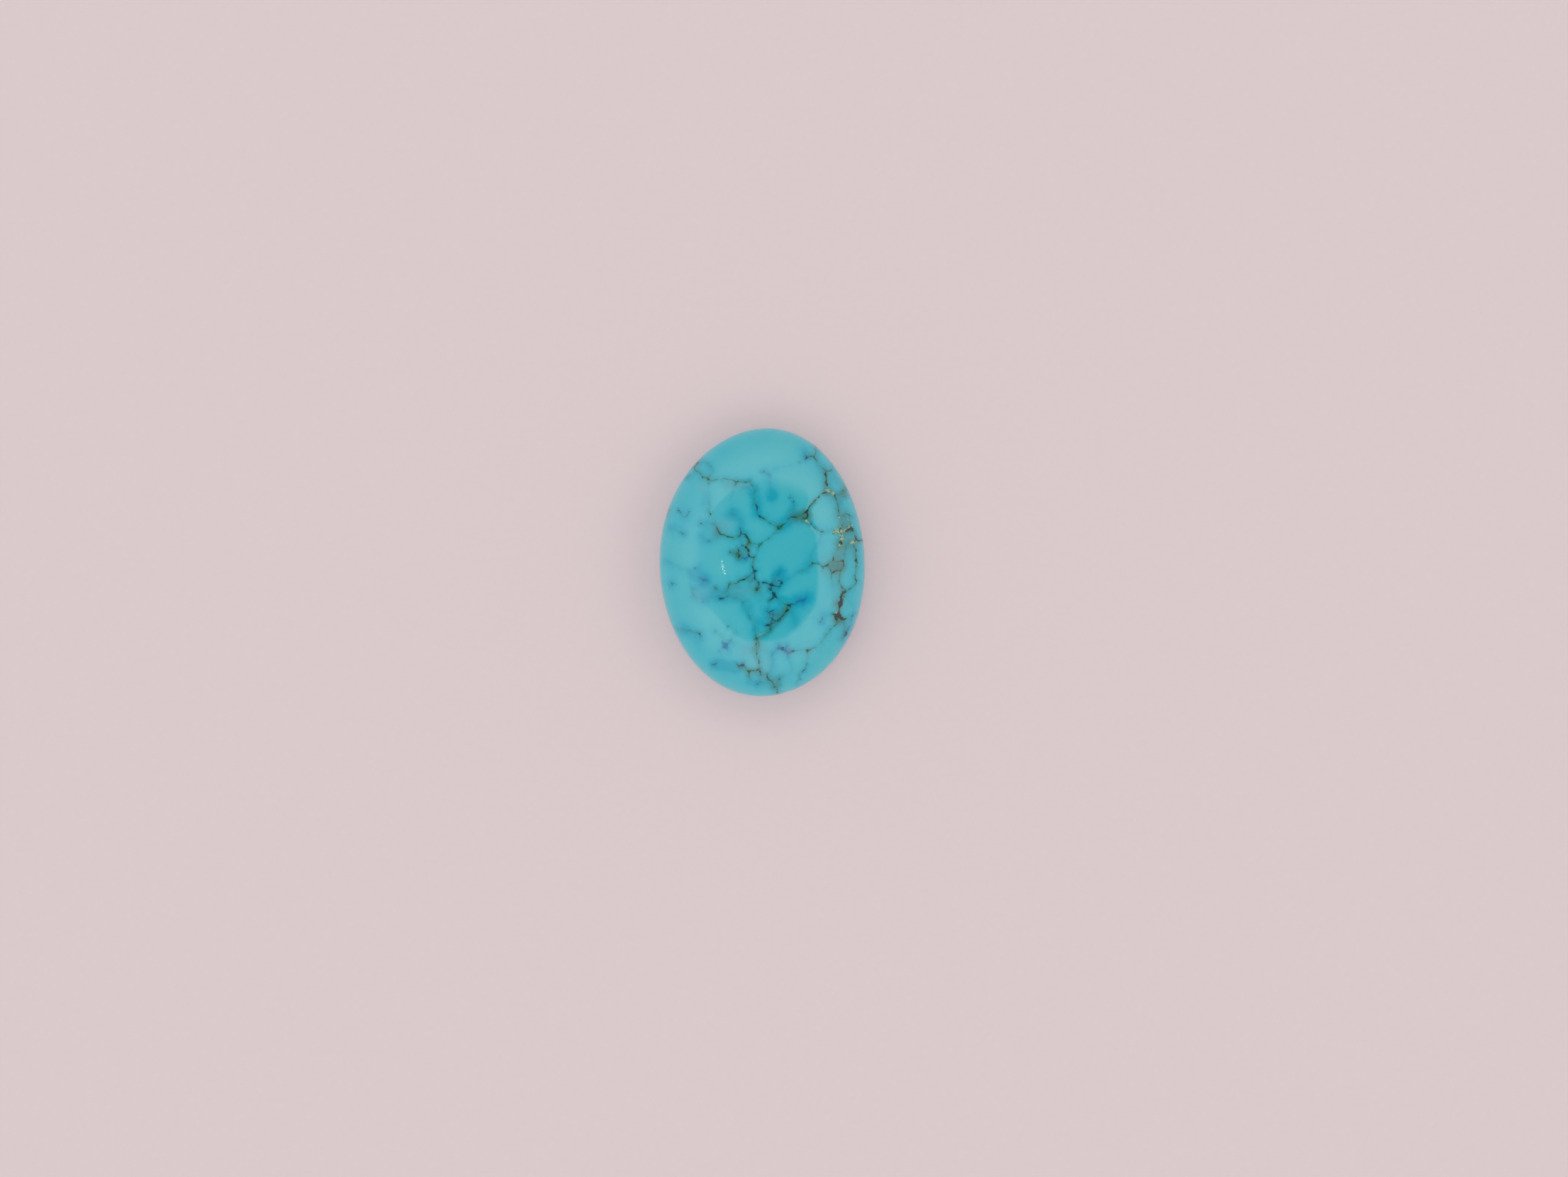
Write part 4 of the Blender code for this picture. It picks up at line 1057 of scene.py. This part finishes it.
tone = add(tree, MATH, {0: tone, 1: PALEST}, operation="DIVIDE", use_clamp=True)
tree.links.new(tone.outputs[0], matrix_colour.inputs[0])
matrix_cover = add(tree, MATH, {0: line["matrix"], 1: 0.95}, operation="MULTIPLY")
colour = add(tree, MIX, {0: matrix_cover, 1: colour, 2: matrix_colour}, data_type="RGBA")

# %% Gilt, pale yellow and dark green grains round the gold knots
gilt = add(tree, MATH, {0: fray, 1: 1.6, 2: carried["gilt"]}, operation="MULTIPLY_ADD")
gilt = add(tree, MAP_RANGE, {"Value": gilt, "From Min": 1.05, "From Max": 1.5, "To Max": 0.88},
           interpolation_type="SMOOTHSTEP")
flecks = add(tree, NOISE, {"Vector": spot, "Scale": 1 / 0.2, "Detail": 3.0, "Roughness": 0.75})
flecks = add(tree, MAP_RANGE, {"Value": flecks, "From Min": 0.3, "From Max": 0.7})
tree.links.new(flecks.outputs[0], fleck_colour.inputs[0])
colour = add(tree, MIX, {0: gilt, 1: colour, 2: fleck_colour}, data_type="RGBA")

# %% [markdown]
# ## The ground back and the gloss
#
# A cutter polishes only what will show. The back is left as the flat lap left it: a little paler,
# since fine scratches scatter light, and matt. Seams take a lower polish than the turquoise and lie
# a hair below it.

# %% Back, gloss and fine relief
height_mm = add(tree, "ShaderNodeSeparateXYZ", {0: spot}).outputs[2]
ground = add(tree, MAP_RANGE, {"Value": height_mm, "From Min": 0.35, "From Max": 0.1},
             interpolation_type="SMOOTHSTEP")
dust = add(tree, MATH, {0: ground, 1: 0.22}, operation="MULTIPLY")
colour = add(tree, MIX, {0: dust, 1: colour, 2: linear("#9CC4C4")}, data_type="RGBA")

SCRATCH_SPACING = 0.12  # lap marks, drawn coarser than the real 0.03 mm so that they show
SCRATCH_LENGTH, SCRATCH_TURN = 4.0, math.radians(24.0)
lap_places = add(tree, "ShaderNodeMapping", {
    "Vector": spot, "Rotation": (0.0, 0.0, SCRATCH_TURN),
    "Scale": (1 / SCRATCH_SPACING, 1 / SCRATCH_LENGTH, 1.0)})
lap_marks = add(tree, NOISE, {"Vector": lap_places, "Scale": 1.0, "Detail": 2.0})
lap_marks = add(tree, MATH, {0: lap_marks, 1: ground}, operation="MULTIPLY")

rough = add(tree, MAP_RANGE,
            {"Value": mottle, "From Min": 0.3, "From Max": 0.7, "To Min": 0.02, "To Max": 0.045})
for part, duller in ((line["ink"], 0.12), (line["matrix"], 0.18), (ground, 0.55)):
    rough = add(tree, MIX, {0: part, 1: rough, 2: duller}, data_type="FLOAT")

pits = add(tree, NOISE, {"Vector": spot, "Scale": 1 / 0.09, "Detail": 2.0})
pits = add(tree, MATH, {0: pits, 1: 0.1}, operation="MULTIPLY")
relief = add(tree, MATH, {0: line["matrix"], 1: -1.5, 2: pits}, operation="MULTIPLY_ADD")
relief = add(tree, MATH, {0: lap_marks, 1: 4.0, 2: relief}, operation="MULTIPLY_ADD")
RELIEF_DEPTH, RESIN_IOR = 0.002 * MM, 1.52
bump = add(tree, "ShaderNodeBump", {"Height": relief, "Distance": RELIEF_DEPTH, "Strength": 1.0})

surface = add(tree, "ShaderNodeBsdfPrincipled",
              {"Base Color": colour, "Roughness": rough, "IOR": RESIN_IOR, "Normal": bump})
add(tree, "ShaderNodeOutputMaterial", {"Surface": surface})
print("polished_turquoise:", len(tree.nodes), "nodes")

# %% [markdown]
# ## A pale floor
#
# The stone lies on a sheet of matt off-white paper. A large disc with a faint fibre grain is
# enough, and it reaches far past what the camera sees. The sheet also glows a little: painted
# light, since the paper is no lamp, which lifts the stone's shadow on it and keeps it faint.

# %% Floor
FLOOR_RADIUS, FLOOR_SIDES = 1.0, 96
FIBRE_SIZE, FIBRE_DEPTH = 0.4 * MM, 0.01 * MM
# Linear colours: the paper between its fibres, then on them
FIBRE_TONES = (0.521, 0.541, 0.553, 1.0), (0.547, 0.568, 0.579, 1.0)
# the paper's painted glow, which lifts the stone's shadow on it
PAINTED_GLOW_COLOUR, PAINTED_GLOW_STRENGTH = (1.0, 0.517, 0.532, 1.0), 0.238

floor_mesh = bpy.data.meshes.new("paper_floor")
rim_turns = [math.tau * i / FLOOR_SIDES for i in range(FLOOR_SIDES)]
rim = [(FLOOR_RADIUS * math.cos(angle), FLOOR_RADIUS * math.sin(angle), 0.0) for angle in rim_turns]
floor_mesh.from_pydata(rim, [], [tuple(range(FLOOR_SIDES))])
floor = new_object("paper_floor", floor_mesh)

paper = bpy.data.materials.new("matt_paper")
paper.use_nodes = True
tree = paper.node_tree
tree.nodes.clear()
spot = add(tree, "ShaderNodeTexCoord").outputs["Object"]
fibres = add(tree, NOISE, {"Vector": spot, "Scale": 1 / FIBRE_SIZE, "Detail": 4.0})
tint = add(tree, MIX, {0: fibres, 1: FIBRE_TONES[0], 2: FIBRE_TONES[1]}, data_type="RGBA")
paper_bump = add(tree, "ShaderNodeBump",
                 {"Height": fibres, "Distance": FIBRE_DEPTH, "Strength": 1.0})
surface = add(tree, "ShaderNodeBsdfPrincipled", {
    "Base Color": tint, "Roughness": 0.9, "Normal": paper_bump,
    "Emission Color": PAINTED_GLOW_COLOUR, "Emission Strength": PAINTED_GLOW_STRENGTH})
add(tree, "ShaderNodeOutputMaterial", {"Surface": surface})
floor_mesh.materials.append(paper)

# %% [markdown]
# ## A light tent
#
# Polished stones are hard to light, because the dome mirrors nearly the whole room. The usual way
# is a white tent all round with a hole at the top to look through. The hole shows on the dome as a
# large, faintly darker patch with straight soft edges, and the tent as the paler ring outside it.
# A thin veil hangs across the hole's left part, which is only half as dark. Area lights could
# build the tent, but a world shader does it with no grain: it is brightest high up, dimmer and
# pinker towards the floor, and nearly dark in the hole.

# %% The tent
world = bpy.data.worlds.new("light_tent")
bpy.context.scene.world = world
world.use_nodes = True
tree = world.node_tree
tree.nodes.clear()
way = add(tree, "ShaderNodeTexCoord").outputs["Generated"]
way_xyz = add(tree, "ShaderNodeSeparateXYZ", {0: way}).outputs
LEAST_CLIMB = 0.01  # keeps the slopes finite at the horizon and under it
upward = add(tree, MATH, {0: way_xyz[2], 1: LEAST_CLIMB}, operation="MAXIMUM")
side, ahead = [
    add(tree, MATH, {0: way_xyz[axis], 1: upward}, operation="DIVIDE")
    for axis in (0, 1)
]

# The hole's edges, in slopes away from straight up: how much of the slope to the right and how much
# of the slope ahead each one counts, and where it starts and ends. The left one is very soft.
HOLE_EDGES = [
    (1.0, 0.0, 0.84, 1.0), (-1.0, 0.0, 0.5, 1.6), (0.0, 1.0, 0.62, 1.0), (0.0, -1.0, 0.7, 0.84),
    (-0.467, 1.0, 0.97, 1.12), (-0.417, -1.0, 0.82, 0.95), (0.6, -1.0, 0.9, 1.08),
]
tent = 0.0
for to_right, to_front, starts, ends in HOLE_EDGES:
    slope = add(tree, MATH, {0: side, 1: to_right}, operation="MULTIPLY")
    slope = add(tree, MATH, {0: ahead, 1: to_front, 2: slope}, operation="MULTIPLY_ADD")
    past = add(tree, MAP_RANGE, {"Value": slope, "From Min": starts, "From Max": ends},
               interpolation_type="SMOOTHSTEP")
    tent = add(tree, MATH, {0: past, 1: tent}, operation="MAXIMUM")

# What each part gives off, as linear colours
LOW_TENT, HIGH_TENT = (0.9, 0.79, 0.77, 1.0), (1.48, 1.46, 1.46, 1.0)
HOLE_LIGHT, VEIL_LIGHT = (0.14, 0.14, 0.14, 1.0), (0.5, 0.48, 0.48, 1.0)
climb = add(tree, MAP_RANGE, {"Value": way_xyz[2], "From Min": 0.05, "From Max": 0.6},
            interpolation_type="SMOOTHSTEP")
glow = add(tree, MIX, {0: climb, 1: LOW_TENT, 2: HIGH_TENT}, data_type="RGBA")
veil = add(tree, MAP_RANGE, {"Value": side, "From Min": 0.1, "From Max": -0.5},
           interpolation_type="SMOOTHSTEP")
beyond = add(tree, MIX, {0: veil, 1: HOLE_LIGHT, 2: VEIL_LIGHT}, data_type="RGBA")
glow = add(tree, MIX, {0: tent, 1: beyond, 2: glow}, data_type="RGBA")
backdrop = add(tree, "ShaderNodeBackground", {"Color": glow, "Strength": 1.0})
add(tree, "ShaderNodeOutputWorld", {"Surface": backdrop})

# %% [markdown]
# ## A few small lamps
#
# A small cluster of bare diodes hangs in the left part of the tent's hole and adds the white glint
# that tells the eye the stone is polished. Each diode is 3 mm across and half a metre away, so on
# the dome it is a fine speck, and together they make one small, slightly slanting glint.

# %% The lamps
LAMP_WAY = Vector((-0.527, -0.042, 1.0))  # the way from the stone to the middle of the cluster
LAMP_DISTANCE, LAMP_WIDTH = 0.5, 3 * MM
LAMP_RADIANCE = 41.0  # how bright a diode's face is, in watts per square metre and steradian
# Each diode's place in the cluster, in mm to the right and ahead as seen from above
DIODES = [(-7, 24), (-11, 18), (-3, 11), (-10, 5), (4, 3), (-3, -4), (9, -9), (3, -15), (12, -19)]

bulb = bpy.data.lights.new("diode", "AREA")
bulb.shape = "DISK"
bulb.size = LAMP_WIDTH
bulb.energy = LAMP_RADIANCE * math.pi * math.pi * (LAMP_WIDTH / 2) ** 2
for lamp_x, lamp_y in DIODES:
    lamp = new_object("diode", bulb)
    lamp.location = LAMP_WAY.normalized() * LAMP_DISTANCE + Vector((lamp_x, lamp_y, 0.0)) * MM
    lamp.rotation_euler = LAMP_WAY.to_track_quat("Z", "Y").to_euler()

# %% [markdown]
# ## The camera
#
# It looks straight down from about 18 cm, with the stone a little left of and above the middle.

# %% The camera
CAMERA_HEIGHT, CAMERA_X, CAMERA_Y = 176.2 * MM, 1.46 * MM, -1.76 * MM
eye = bpy.data.cameras.new("camera")
eye.lens, eye.sensor_width = 60.0, 36.0
eye.clip_start, eye.clip_end = 1 * MM, 10.0
camera = new_object("camera", eye)
camera.location = (CAMERA_X, CAMERA_Y, CAMERA_HEIGHT)
bpy.context.scene.camera = camera
bpy.context.scene.view_settings.view_transform = "Standard"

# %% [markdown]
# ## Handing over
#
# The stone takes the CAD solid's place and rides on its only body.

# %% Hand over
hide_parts("turquoise_cabochon")
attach(stone_piece, "root")

bpy.context.view_layer.update()
